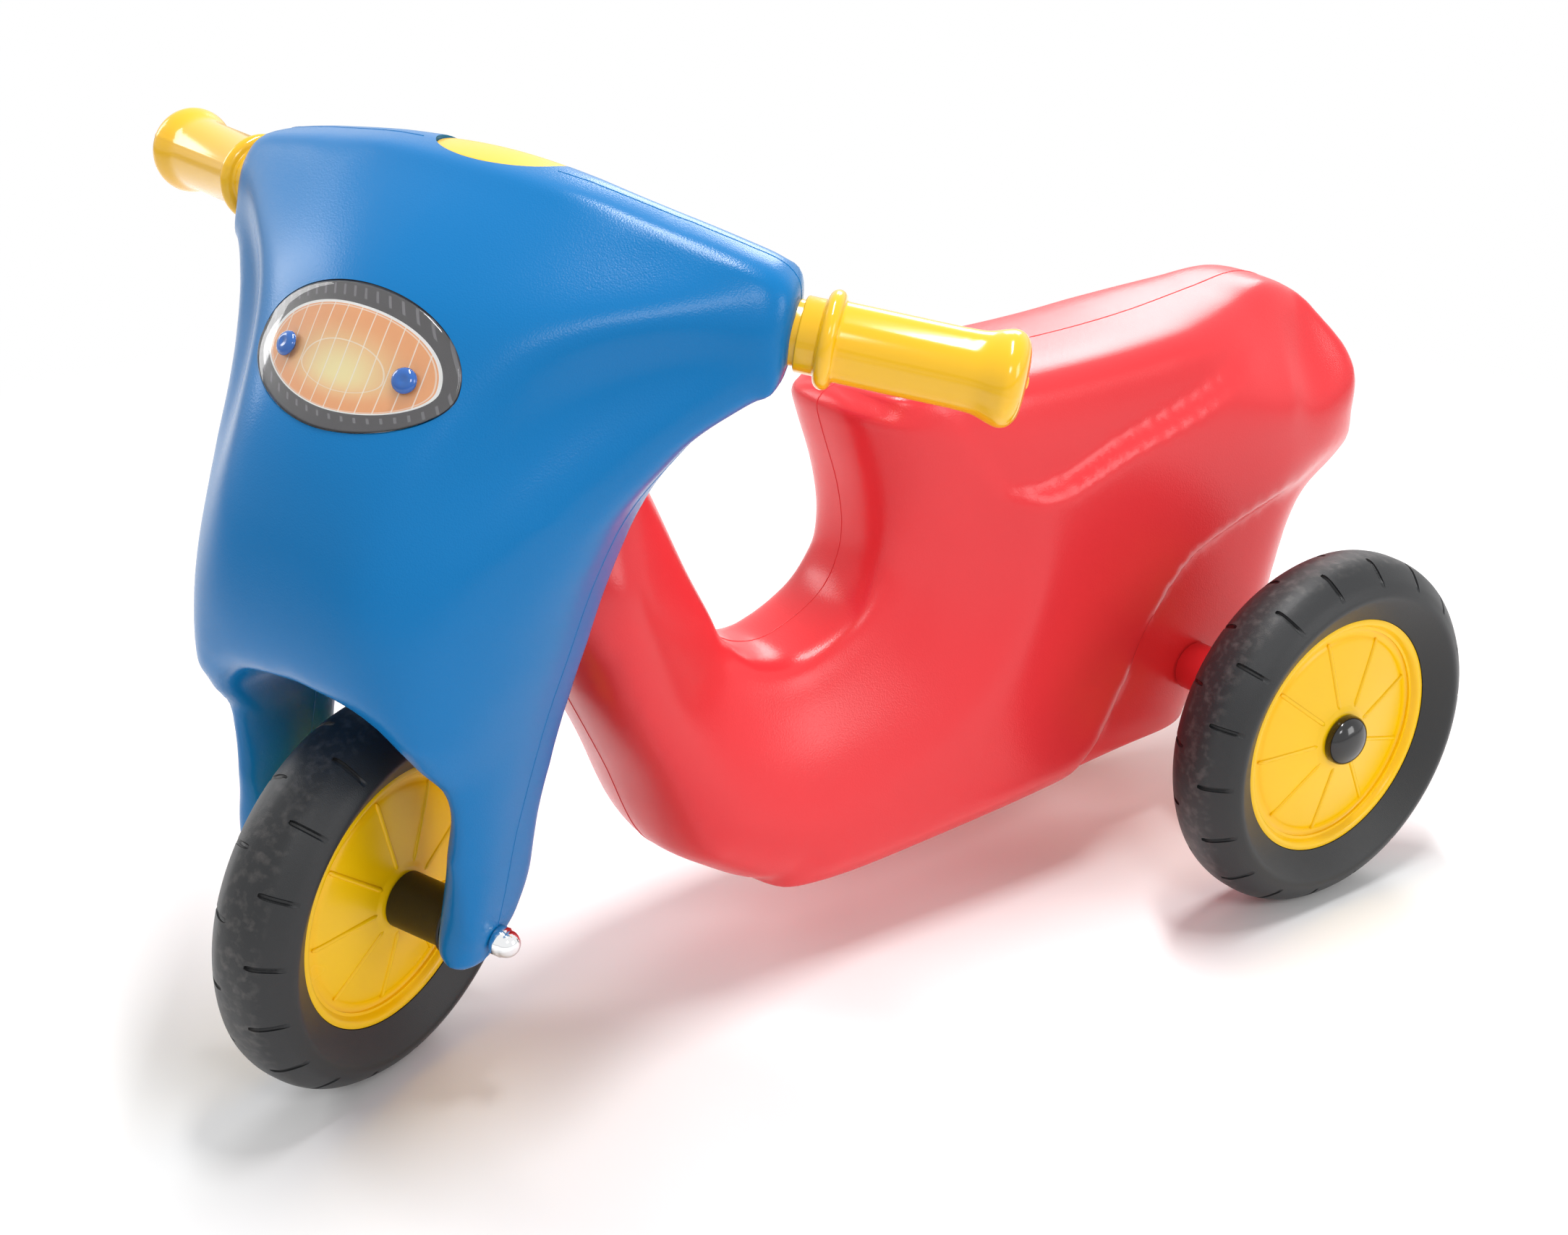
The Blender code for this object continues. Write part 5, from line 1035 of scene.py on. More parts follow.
def grip_outline():
    """The grip's outline, as (x, radius) from the inner end of its plug to the tip of its round end."""
    collar, bead = GRIP_COLLAR_LENGTH, GRIP_BEAD_WIDTH
    end = collar + bead / 2 + GRIP_LENGTH
    start, neck = RUNNING + 1.2, GRIP_RADIUS - 0.7
    outline = [(-GRIP_PLUG_LENGTH, 0), (-GRIP_PLUG_LENGTH, GRIP_PLUG_RADIUS - 1.0),
               (-GRIP_PLUG_LENGTH + 1.0, GRIP_PLUG_RADIUS), (start, GRIP_PLUG_RADIUS), (start, neck - 0.6),
               (start + 0.2, neck - 0.2), (start + 0.6, neck), (collar - 0.8, neck),
               (collar - 0.3, neck + 0.2)]
    for k in range(BEAD_STEPS):
        angle = math.radians(BEAD_TURN * (k - BEAD_STEPS // 2))
        outline.append((collar + bead / 2 * (1.0 + math.sin(angle)),
                        GRIP_RADIUS + (GRIP_BEAD_RADIUS - GRIP_RADIUS) * math.cos(angle)))
    outline += [(collar + bead + 0.3, GRIP_RADIUS + 0.15), (collar + bead + 1.0, GRIP_RADIUS)]
    wide = GRIP_END_RADIUS
    flare = smooth_line([(end - 18.0, GRIP_RADIUS), (end - 10.0, GRIP_RADIUS + 0.5), (end - 3.5, wide - 0.6),
                         (end, wide), (end + 3.2, wide - 1.2), (end + 5.6, wide - 4.6),
                         (end + 6.5, wide - 9.5), (end + 6.8, 2.2)], 0.8)
    outline += [tuple(point) for point in flare] + [(end + 7.2, 1.9), (end + 7.4, 0)]
    return outline


def grip_mesh(sign):
    """One grip with a raised mould line along its front and back."""
    mesh = turned(f"grip_moulding_{sign}", grip_outline(), GRIP_STEPS, phase=-0.5 * math.tau / GRIP_STEPS)
    for corner in mesh.vertices:
        x, y, z = corner.co
        radius = math.hypot(y, z)
        if x > RUNNING * MM and radius > 0.5 * GRIP_RADIUS * MM and abs(z) < 0.05 * MM:
            corner.co.y += math.copysign(MOULD_LINE * MM, y)
    mesh.transform(STEERED @ grip_frame(sign))
    return mesh


for side, sign in (("left", 1), ("right", -1)):
    shown(f"grip_moulding_{side}", grip_mesh(sign), grip_yellow, "fork", "yellow_plastic",
          f"grip_{side}", sharp=50.0)


# Headlight
# A printed card in a shallow oval pocket, under a cover of clear moulded plastic that two translucent
# blue plastic studs hold. The print is plain: a charcoal surround with grey dashes, a white line, and
# a glowing fluted lamp.

LIGHT_PANEL_THICKNESS = 1.4
LIGHT_LENS_THICKNESS = 2.0
LIGHT_LENS_EDGE = 0.8
STUD_SPACING = 51.6
STUD_RISE = 2.6
STUD_HEAD_RADIUS = 4.6
STUD_STEM_RADIUS = 2.2
STUD_STEM_LENGTH = 8.0
STUD_STAND = 0.8
STUD_DOME = 2.1
STUD_DIMPLE_RADIUS = 1.4
STUD_STEPS = 48
STUD_CLEARNESS = 0.35
PATCH_RINGS = 12

# The lamp and its flutes and dashes in millimetres, and what goes round it as shares of its oval.
LAMP_HALF_WIDTH = 36.6
LAMP_UPPER_HEIGHT = 20.0
LAMP_LOWER_HEIGHT = 10.6
LAMP_LINE = 0.035
GLOW_SPAN = (0.05, 0.85)
FLUTE_SPACING = 6.1
FLUTE_WIDTH = 0.44
BAND_SPACING = 0.48
BAND_WIDTH = 0.016
DASH_SPACING = 5.0
DASH_WIDTH = 1.1
DASH_SLANT = 0.7
DASH_RING = (1.17, 0.07)
CARD_UNIT = 100.0
CARD_GRAIN = 10000.0
COVER_WAVE = 60.0

# The inks, and how strongly the fine marks are printed.
FLUTE_INK, BAND_INK, DASH_INK, GRAIN_INK = 0.75, 0.6, 0.8, 0.06
LAMP_MIDDLE = (1.0, 0.86, 0.42)
LAMP_EDGE = (0.94, 0.40, 0.14)
FLUTE_WHITE = (1.0, 0.93, 0.84)
SURROUND_BLACK = (0.028, 0.026, 0.03)
DASH_GREY = (0.17, 0.165, 0.18)
LINE_WHITE = (0.95, 0.95, 0.93)
GRAIN_GREY = (0.5, 0.48, 0.47)
STUD_BLUE = (0.01, 0.16, 0.62)

PANEL_FRONT = LIGHT_POCKET_DEPTH - FIT - LIGHT_PANEL_THICKNESS
LENS_BACK = PANEL_FRONT - FIT
LENS_FRONT = LENS_BACK - LIGHT_LENS_THICKNESS


def dome(foot, height, radius, count, turn, inner=0.0):
    """The outline of a dome from its foot on, as (x, radius), each point a turn further in degrees."""
    lifts = [math.radians(turn * k) for k in range(1, count)]
    return [(foot + height * math.sin(lift), inner + (radius - inner) * math.cos(lift)) for lift in lifts]


def print_card():
    """The printed card's ink, drawn in millimetres across the card from its own coordinates."""
    material, nodes, links, shader = new_material("headlight_print")
    shader.inputs["Roughness"].default_value = 0.42

    def calc(operation, *values):
        """What an operation comes to in this print's own nodes."""
        return worked_out(nodes, links, operation, *values)

    def ink(under, over, amount):
        """One colour printed over another by an amount, as a socket."""
        node = nodes.new("ShaderNodeMixRGB")
        for socket, value in zip(node.inputs, (amount, under, over)):
            if isinstance(value, tuple):
                socket.default_value = (*value, 1)
            else:
                links.new(value, socket)
        return node.outputs[0]

    card = nodes.new("ShaderNodeUVMap")
    card.uv_map = "card"
    split = nodes.new("ShaderNodeSeparateXYZ")
    links.new(card.outputs["UV"], split.inputs[0])
    across = calc('MULTIPLY', calc('SUBTRACT', split.outputs["X"], 0.5), CARD_UNIT)
    up = calc('MULTIPLY', calc('SUBTRACT', split.outputs["Y"], 0.5), CARD_UNIT)
    above = calc('GREATER_THAN', up, 0.0)
    tall = calc('MULTIPLY_ADD', above, LAMP_UPPER_HEIGHT - LAMP_LOWER_HEIGHT, LAMP_LOWER_HEIGHT)
    flat = calc('DIVIDE', across, LAMP_HALF_WIDTH)
    rise = calc('DIVIDE', up, tall)
    out = calc('SQRT', calc('ADD', calc('MULTIPLY', flat, flat), calc('MULTIPLY', rise, rise)))

    glow = nodes.new("ShaderNodeMapRange")
    glow.interpolation_type = 'SMOOTHSTEP'
    for socket, value in zip(("From Min", "From Max"), GLOW_SPAN):
        glow.inputs[socket].default_value = value
    links.new(out, glow.inputs["Value"])
    lamp = ink(LAMP_MIDDLE, LAMP_EDGE, glow.outputs["Result"])
    flute = calc('LESS_THAN', calc('PINGPONG', across, FLUTE_SPACING / 2), FLUTE_WIDTH / 2)
    lamp = ink(lamp, FLUTE_WHITE, calc('MULTIPLY', flute, FLUTE_INK))
    band = calc('LESS_THAN', calc('PINGPONG', out, BAND_SPACING / 2), BAND_WIDTH / 2)
    lamp = ink(lamp, FLUTE_WHITE, calc('MULTIPLY', band, BAND_INK))

    lean = calc('ADD', across, calc('MULTIPLY', up, DASH_SLANT))
    dash = calc('LESS_THAN', calc('PINGPONG', lean, DASH_SPACING / 2), DASH_WIDTH / 2)
    inside = calc('COMPARE', out, *DASH_RING)
    ring = ink(SURROUND_BLACK, DASH_GREY, calc('MULTIPLY', calc('MULTIPLY', dash, inside), DASH_INK))
    face = ink(lamp, ring, calc('GREATER_THAN', out, 1.0))
    face = ink(face, LINE_WHITE, calc('COMPARE', out, 1.0, LAMP_LINE / 2))
    face = ink(face, GRAIN_GREY, calc('MULTIPLY', noise(nodes, links, CARD_GRAIN), GRAIN_INK))
    links.new(face, shader.inputs["Base Color"])
    return material


def clear_plastic():
    """Clear moulded plastic with a faint wave in its polish."""
    material, nodes, links, shader = new_material("headlight_cover_clear")
    shader.inputs["Base Color"].default_value = (1.0, 1.0, 1.0, 1)
    shader.inputs["Roughness"].default_value = 0.03
    shader.inputs["IOR"].default_value = 1.46
    shader.inputs["Transmission Weight"].default_value = 1.0
    relief(nodes, links, shader, noise(nodes, links, COVER_WAVE), strength=0.04, depth=0.2)
    return material


card_mesh = oval_patch("headlight_card", 0.0, PANEL_FRONT, LIGHT_POCKET_DEPTH - FIT, PATCH_RINGS,
                       LIGHT_STEPS)
card_map = card_mesh.uv_layers.new(name="card")
for loop in card_mesh.loops:
    corner = card_mesh.vertices[loop.vertex_index].co / MM
    card_map.data[loop.index].uv = (corner.x / CARD_UNIT + 0.5, (corner.z - LIGHT_HEIGHT) / CARD_UNIT + 0.5)
card_mesh.transform(STEERED)
shown("headlight_card", card_mesh, print_card(), "fork", "printed_plastic", "headlight_panel", sharp=40.0)

cover_blank = oval_patch("headlight_cover_blank", 0.0, LENS_FRONT, LENS_BACK, PATCH_RINGS, LIGHT_STEPS)
cover_mesh = softened(cover_blank, LIGHT_LENS_EDGE)
cover_mesh.transform(STEERED)
shown("headlight_cover", cover_mesh, clear_plastic(), "fork", "clear_plastic", "headlight_lens")

stud_blue = plastic("stud_plastic", STUD_BLUE, roughness=0.12, grain=0.02, grain_size=1.0, coat=0.6)
stud_blue.node_tree.nodes["Principled BSDF"].inputs["Transmission Weight"].default_value = STUD_CLEARNESS
for side, sign in (("left", 1), ("right", -1)):
    x, height = sign * STUD_SPACING / 2, LIGHT_HEIGHT + STUD_RISE
    face = float(front_centre(x, height)) + LENS_FRONT
    outwards = Vector((float(front_centre(x + 1.0, height) - front_centre(x - 1.0, height)) / 2, -1.0,
                       float(front_centre(x, height + 1.0) - front_centre(x, height - 1.0)) / 2))
    tilt = Vector((1, 0, 0)).rotation_difference(outwards).to_matrix().to_4x4()
    stand, dimple = STUD_STAND, STUD_DIMPLE_RADIUS
    head = [(-STUD_STEM_LENGTH, 0), (-STUD_STEM_LENGTH, STUD_STEM_RADIUS), (stand, STUD_STEM_RADIUS),
            (stand, STUD_HEAD_RADIUS - 0.2), (stand + 0.2, STUD_HEAD_RADIUS)]
    head += dome(stand + 0.2, STUD_DOME, STUD_HEAD_RADIUS, count=9, turn=10.0, inner=dimple)
    head += [(stand + 2.0, dimple - 0.2), (stand + 1.7, 0)]
    place = STEERED @ Matrix.Translation(Vector((x, face, height)) * MM) @ tilt
    shown(f"headlight_stud_moulding_{side}", turned(f"stud_{side}", head, STUD_STEPS, place), stud_blue,
          "fork", "blue_plastic", f"headlight_stud_{side}", sharp=50.0)


# Front axle fittings
# Moulded black nylon sleeves with a flange keep the wheel midway between the fork's legs, and domed
# nuts of chromed steel are screwed on the axle outside them.

HUB_HALF_WIDTH = 13.5
AXLE_RADIUS = 4.0
SLEEVE_RADIUS = 11.6
SLEEVE_FLANGE_RISE = 1.5
SLEEVE_FLANGE_WIDTH = 2.0
TURNED_STEPS = 64
NUT_HALF_WIDTH = 6.0
NUT_BASE = 4.0
NUT_DOME = 5.6
NUT_SUNK = 0.4
THREAD_PAST_BASE = 1.5
CHROME_GREY = (0.86, 0.87, 0.88)

chrome = metal("bright_chrome", CHROME_GREY, roughness=0.07, scratch=0.02)

nut_start = FORK_GAP_HALF_WIDTH + FORK_LEG_WIDTH - NUT_SUNK
thread_end = nut_start + NUT_BASE + THREAD_PAST_BASE
for side, turn in (("left", 0.0), ("right", math.pi)):
    place = STEERED @ Matrix.Rotation(turn, 4, 'Z')
    inner, outer = HUB_HALF_WIDTH + RUNNING, FORK_GAP_HALF_WIDTH - FIT
    root, flange = outer - SLEEVE_FLANGE_WIDTH, SLEEVE_RADIUS + SLEEVE_FLANGE_RISE
    sleeve = [(inner, AXLE_RADIUS + FIT), (inner, SLEEVE_RADIUS - 0.3), (inner + 0.3, SLEEVE_RADIUS),
              (root - 0.4, SLEEVE_RADIUS), (root, SLEEVE_RADIUS + 0.4), (root, flange - 0.3),
              (root + 0.3, flange), (outer - 0.3, flange), (outer, flange - 0.3), (outer, AXLE_RADIUS + FIT)]
    shown(f"front_sleeve_{side}", turned(f"front_sleeve_{side}", sleeve, TURNED_STEPS, place), nylon, "fork",
          "black_plastic", f"front_spacer_{side}", sharp=50.0)
    nut = [(thread_end + FIT, 0), (thread_end + FIT, AXLE_RADIUS + FIT), (nut_start, AXLE_RADIUS + FIT),
           (nut_start, NUT_HALF_WIDTH - 0.3), (nut_start + 0.3, NUT_HALF_WIDTH),
           (nut_start + NUT_BASE - 0.2, NUT_HALF_WIDTH), (nut_start + NUT_BASE + 0.2, NUT_DOME)]
    nut += dome(nut_start + NUT_BASE + 0.3, NUT_DOME, NUT_DOME, count=12, turn=8.0)
    nut.append((nut_start + NUT_BASE + 0.3 + NUT_DOME, 0))
    shown(f"domed_nut_{side}", turned(f"domed_nut_{side}", nut, TURNED_STEPS, place), chrome, "fork",
          "bright_steel", f"front_axle_nut_{side}", sharp=50.0)


# Rear axle fittings
# Plain red plastic sleeves fill the gap between the tail and the rear wheels, and glossy black
# plastic domes are pressed on the ends of the axle.

CAP_RADIUS = 11.6
CAP_HEIGHT = 8.5
CAP_RIM_HEIGHT = 2.0
DOME_BLACK = (0.006, 0.006, 0.007)

gloss_black = plastic("black_gloss", DOME_BLACK, roughness=0.12, grain=0.01, grain_size=1.0, coat=0.4)

for side, turn in (("left", 0.0), ("right", math.pi)):
    place = Matrix.Translation(GROUND + Vector((0, 0, AXLE_HEIGHT)) * MM) @ Matrix.Rotation(turn, 4, 'Z')
    inner = FLANK_HALF_WIDTH - ARCH_DEPTH + FIT
    outer = REAR_TRACK / 2 - HUB_HALF_WIDTH - RUNNING
    sleeve = [(inner, AXLE_RADIUS + FIT), (inner, SLEEVE_RADIUS - 0.3), (inner + 0.3, SLEEVE_RADIUS),
              (outer - 0.3, SLEEVE_RADIUS), (outer, SLEEVE_RADIUS - 0.3), (outer, AXLE_RADIUS + FIT)]
    shown(f"rear_sleeve_{side}", turned(f"rear_sleeve_{side}", sleeve, TURNED_STEPS, place), red, "body",
          "red_plastic", f"rear_spacer_{side}", sharp=50.0)
    start = REAR_TRACK / 2 + HUB_HALF_WIDTH + RUNNING
    pocket = REAR_TRACK / 2 + HUB_HALF_WIDTH + CAP_HEIGHT / 2 + FIT
    end_cap = [(pocket, 0), (pocket, AXLE_RADIUS + FIT), (start, AXLE_RADIUS + FIT),
               (start, CAP_RADIUS - 0.3), (start + 0.3, CAP_RADIUS), (start + CAP_RIM_HEIGHT, CAP_RADIUS)]
    end_cap += dome(start + CAP_RIM_HEIGHT, CAP_HEIGHT - CAP_RIM_HEIGHT, CAP_RADIUS, count=15, turn=6.3)
    end_cap.append((start + CAP_HEIGHT, 0))
    shown(f"axle_dome_{side}", turned(f"axle_dome_{side}", end_cap, TURNED_STEPS, place), gloss_black, "body",
          "black_plastic", f"rear_{side}_cap", sharp=50.0)


# Tyres
# Rings of moulded black rubber stretched over the rims, with plain coned walls. Short slots cross
# both shoulders, those of one side half a step on from those of the other.

TYRE_HALF_WIDTH = 19.5
TYRE_SHOULDER_RADIUS = 68.0
TYRE_BORE_RADIUS = 50.0
RIM_LIP_RADIUS = 55.3
RIM_LIP_HALF_WIDTH = 11.5
RIM_LIP_WIDTH = 2.8
SLOT_COUNT = 18
SLOT_WIDTH = 2.2
SLOT_DEPTH = 1.5
SLOT_FADE = 5.0
SLOT_CLEAR_ABOVE = 3.0
TREAD_START = WHEEL_RADIUS - 3.5
TREAD_FADE = 3.0
WHEEL_FINE_STEPS = 180
RUBBER_BLACK = (0.019, 0.02, 0.0215)
DUST_GREY = (0.075, 0.07, 0.068)
DUST_SCALE = 260.0
DUST_PATCHES = (0.48, 0.75)
REAR_LEFT_HUB = GROUND + Vector((REAR_TRACK / 2, 0, AXLE_HEIGHT)) * MM
REAR_RIGHT_HUB = GROUND + Vector((-REAR_TRACK / 2, 0, AXLE_HEIGHT)) * MM

# Each wheel's place, the body it rides on and the angle of its first slot.
WHEELS = {
    "front": (STEERED, "front_wheel", math.radians(12.0)),
    "rear_left": (Matrix.Translation(REAR_LEFT_HUB), "rear_left_wheel", math.radians(1.5)),
    "rear_right": (Matrix.Translation(REAR_RIGHT_HUB), "rear_right_wheel", math.radians(8.0)),
}


def tyre_rubber():
    """Black rubber with a fine skin and a little dust rubbed into the tread."""
    material = plastic("tyre_rubber", RUBBER_BLACK, roughness=0.42, grain=0.35, grain_size=0.35,
                       gloss_level=0.4)
    tree = material.node_tree
    nodes, links = tree.nodes, tree.links
    shader = nodes["Principled BSDF"]
    clean = shader.inputs["Base Color"].links[0].from_socket
    tread = nodes.new("ShaderNodeAttribute")
    tread.attribute_name = "tread"
    patchy = nodes.new("ShaderNodeMapRange")
    for socket, value in zip(("From Min", "From Max"), DUST_PATCHES):
        patchy.inputs[socket].default_value = value
    links.new(noise(nodes, links, DUST_SCALE, 6.0), patchy.inputs["Value"])
    amount = worked_out(nodes, links, 'MULTIPLY', tread.outputs["Fac"], patchy.outputs["Result"])
    dusty = nodes.new("ShaderNodeMixRGB")
    dusty.inputs["Color2"].default_value = (*DUST_GREY, 1)
    links.new(amount, dusty.inputs["Fac"])
    links.new(clean, dusty.inputs["Color1"])
    links.new(dusty.outputs["Color"], shader.inputs["Base Color"])
    return material


def tyre_section():
    """Half of the tyre's section, as (x, radius) from its bore to the middle of its tread."""
    bead, lip = RIM_LIP_HALF_WIDTH - RIM_LIP_WIDTH - FIT, RIM_LIP_RADIUS + FIT
    half, shoulder, crown = TYRE_HALF_WIDTH, TYRE_SHOULDER_RADIUS, WHEEL_RADIUS
    wall = smooth_line([(RIM_LIP_HALF_WIDTH, lip), (half - 1.0, shoulder - 1.8), (half - 0.1, shoulder + 0.8),
                        (half - 0.9, shoulder + 3.4), (half - 3.4, crown - 7.3), (half - 9.5, crown - 2.1),
                        (half - 14.5, crown - 0.35), (0.0, crown)], 0.8, after=(-5.0, crown - 0.35))
    return [(bead, TYRE_BORE_RADIUS), (bead, lip)] + [tuple(point) for point in wall]


def round_end(part):
    """The share of its full width that a bar with a round end has, by how far in from its end it is."""
    return math.sqrt(1.0 - (1.0 - min(1.0, part)) ** 2)


def bar_faces(first, sections, sides):
    """The faces of a closed bar whose sections follow one another from a first point."""
    faces = []
    for i in range(sections - 1):
        a = first + sides * i
        faces += [[a + k, a + (k + 1) % sides, a + sides + (k + 1) % sides, a + sides + k]
                  for k in range(sides)]
    last = first + sides * (sections - 1)
    return faces + [[first + k for k in range(sides)], [last + k for k in range(sides)]]


def slot_tool():
    """One slot of each shoulder, as a solid bar that lies across the tread and round its corner."""
    half, shoulder, crown = TYRE_HALF_WIDTH, TYRE_SHOULDER_RADIUS, WHEEL_RADIUS
    path = smooth_line([(half - 14.0, crown - 0.4), (half - 9.5, crown - 2.1), (half - 3.4, crown - 7.3),
                        (half - 1.4, shoulder + 4.6)], 0.9)
    path = np.array(path)
    way = np.gradient(path, axis=0)
    way /= np.linalg.norm(way, axis=1)[:, None]
    normal = np.stack([-way[:, 1], way[:, 0]], 1)
    length = np.concatenate([[0.0], np.cumsum(np.linalg.norm(np.diff(path, axis=0), axis=1))])
    points, faces = [], []
    for sign, angle in ((1, 0.0), (-1, math.pi / SLOT_COUNT)):
        first = len(points)
        for i, (x, radius) in enumerate(path):
            width = SLOT_WIDTH / 2 * round_end(0.15 + length[i] / (1.2 * SLOT_WIDTH))
            deep = SLOT_DEPTH * min(1.0, 0.1 + (length[-1] - length[i]) / SLOT_FADE)
            section = ((SLOT_CLEAR_ABOVE, -1.25), (SLOT_CLEAR_ABOVE, 1.25), (-0.5 * deep, 1.0),
                       (-deep, 0.4), (-deep, -0.4), (-0.5 * deep, -1.0))
            for lift, across in section:
                px, pr = x + normal[i, 0] * lift, radius + normal[i, 1] * lift
                y, z = pr, width * across
                points.append((sign * px, y * math.cos(angle) - z * math.sin(angle),
                               y * math.sin(angle) + z * math.cos(angle)))
        faces += bar_faces(first, len(path), len(section))
    return closed_mesh("slot_tool", points, faces)


def ring_of_copies(name, cuts):
    """A node tree that sets copies of a tool evenly round a mesh's X axis, and cuts or joins them."""
    tree = bpy.data.node_groups.new(name, 'GeometryNodeTree')
    for label, way, kind in (("Mesh", 'INPUT', 'Geometry'), ("Tool", 'INPUT', 'Object'),
                             ("Copies", 'INPUT', 'Int'), ("First angle", 'INPUT', 'Float'),
                             ("Finish", 'INPUT', 'Material'), ("Mesh", 'OUTPUT', 'Geometry')):
        tree.interface.new_socket(label, in_out=way, socket_type="NodeSocket" + kind)
    nodes, links = tree.nodes, tree.links
    given, result = nodes.new("NodeGroupInput"), nodes.new("NodeGroupOutput")
    marks, index = nodes.new("GeometryNodePoints"), nodes.new("GeometryNodeInputIndex")
    links.new(given.outputs["Copies"], marks.inputs["Count"])
    spacing = worked_out(nodes, links, 'DIVIDE', math.tau, given.outputs["Copies"])
    angle = worked_out(nodes, links, 'MULTIPLY_ADD', index.outputs["Index"], spacing,
                       given.outputs["First angle"])
    turn = nodes.new("ShaderNodeCombineXYZ")
    links.new(angle, turn.inputs["X"])
    tool = nodes.new("GeometryNodeObjectInfo")
    links.new(given.outputs["Tool"], tool.inputs["Object"])
    copies = nodes.new("GeometryNodeInstanceOnPoints")
    links.new(marks.outputs[0], copies.inputs["Points"])
    links.new(tool.outputs["Geometry"], copies.inputs["Instance"])
    links.new(turn.outputs["Vector"], copies.inputs["Rotation"])
    loose = nodes.new("GeometryNodeRealizeInstances")
    links.new(copies.outputs["Instances"], loose.inputs["Geometry"])
    if cuts:
        both = nodes.new("GeometryNodeMeshBoolean")
        both.operation = 'DIFFERENCE'
        both.solver = 'EXACT'
        links.new(given.outputs["Mesh"], both.inputs["Mesh 1"])
        links.new(loose.outputs["Geometry"], both.inputs["Mesh 2"])
    else:
        both = nodes.new("GeometryNodeJoinGeometry")
        links.new(given.outputs["Mesh"], both.inputs["Geometry"])
        links.new(loose.outputs["Geometry"], both.inputs["Geometry"])
    solid, painted = nodes.new("GeometryNodeRealizeInstances"), nodes.new("GeometryNodeSetMaterial")
    links.new(both.outputs[0], solid.inputs["Geometry"])
    links.new(solid.outputs["Geometry"], painted.inputs["Geometry"])
    links.new(given.outputs["Finish"], painted.inputs["Material"])
    links.new(painted.outputs["Geometry"], result.inputs["Mesh"])
    return tree


def with_copies(mesh, tool_mesh, tree, copies, first_angle, finish):
    """The mesh with the copies of its tool set round it for good."""
    piece, tool = in_scene(mesh.name, mesh), in_scene(tool_mesh.name, tool_mesh)
    ring = piece.modifiers.new("ring", 'NODES')
    ring.node_group = tree
    values = {"Tool": tool, "Copies": copies, "First angle": first_angle, "Finish": finish}
    for socket in tree.interface.items_tree:
        if socket.in_out == 'INPUT' and socket.name in values:
            ring[socket.identifier] = values[socket.name]
    done = worked_mesh(piece)
    for made in (piece, tool):
        bpy.data.objects.remove(made)
    bpy.data.meshes.remove(mesh)
    bpy.data.meshes.remove(tool_mesh)
    done.materials.clear()
    return done


rubber = tyre_rubber()
slot_ring = ring_of_copies("tread_slots", cuts=True)
half_section = tyre_section()
for wheel, (place, body, first_slot) in WHEELS.items():
    section = half_section + [(-x, radius) for x, radius in reversed(half_section[:-1])]
    plain = turned(f"{wheel}_tyre_blank", section, WHEEL_FINE_STEPS)
    tyre = with_copies(plain, slot_tool(), slot_ring, SLOT_COUNT, first_slot, rubber)
    tread = tyre.attributes.new("tread", 'FLOAT', 'POINT')
    for corner in tyre.vertices:
        radius = math.hypot(corner.co.y, corner.co.z) / MM
        tread.data[corner.index].value = min(1.0, max(0.0, (radius - TREAD_START) / TREAD_FADE))
    tyre.transform(place)
    shown(f"{wheel}_tyre_rubber", tyre, rubber, body, "tyre_rubber", f"{wheel}_tyre", sharp=35.0)


# Rims
# Yellow plastic discs, moulded with two like faces: a coned web with nine raised ribs, a channel
# round it and a rolled lip that holds the tyre. Each turns on the axle by a bush in its hub.

RIM_CHANNEL_DEPTH = 4.5
RIM_WEB_RADIUS = 43.5
HUB_RADIUS = 13.0
BUSH_WALL = 2.6
RIB_COUNT = 9
RIB_WIDTH = 2.2
RIB_PHASE = math.radians(21.0)
RIB_HEIGHT = 0.9
RIB_START = HUB_RADIUS + 2.0
RIB_END = RIM_WEB_RADIUS + 3.5
RIB_SUNK = 0.3
RIB_SECTIONS = 25
RIB_SIDES = 9
WHEEL_BUSH_RADIUS = AXLE_RADIUS + RUNNING + BUSH_WALL
RIM_YELLOW = (0.96, 0.57, 0.0)

rim_yellow = plastic("rim_plastic", RIM_YELLOW, roughness=0.25, grain=0.06, grain_size=0.9, gloss_level=0.4)


def rim_section():
    """Half of the rim's section, as (x, radius) from its bore round to its tyre seat."""
    web, lip, wide = RIM_WEB_RADIUS, RIM_LIP_RADIUS, RIM_LIP_HALF_WIDTH
    channel, seat = RIM_LIP_HALF_WIDTH - RIM_CHANNEL_DEPTH, RIM_LIP_HALF_WIDTH - RIM_LIP_WIDTH
    face = smooth_line([(HUB_HALF_WIDTH - 0.9, HUB_RADIUS + 2.0), (channel + 1.3, web),
                        (channel + 0.2, web + 3.1), (channel, web + 5.3), (channel + 1.2, lip - 4.7),
                        (wide - 1.3, lip - 3.5), (wide - 0.2, lip - 2.5), (wide, lip - 1.3),
                        (wide - 0.3, lip)], 0.7)
    return [(HUB_HALF_WIDTH, WHEEL_BUSH_RADIUS + FIT), (HUB_HALF_WIDTH, HUB_RADIUS - 0.3),
            (HUB_HALF_WIDTH - 0.3, HUB_RADIUS + 0.6)] + [tuple(point) for point in face] \
        + [(seat, lip), (seat, TYRE_BORE_RADIUS - FIT)]


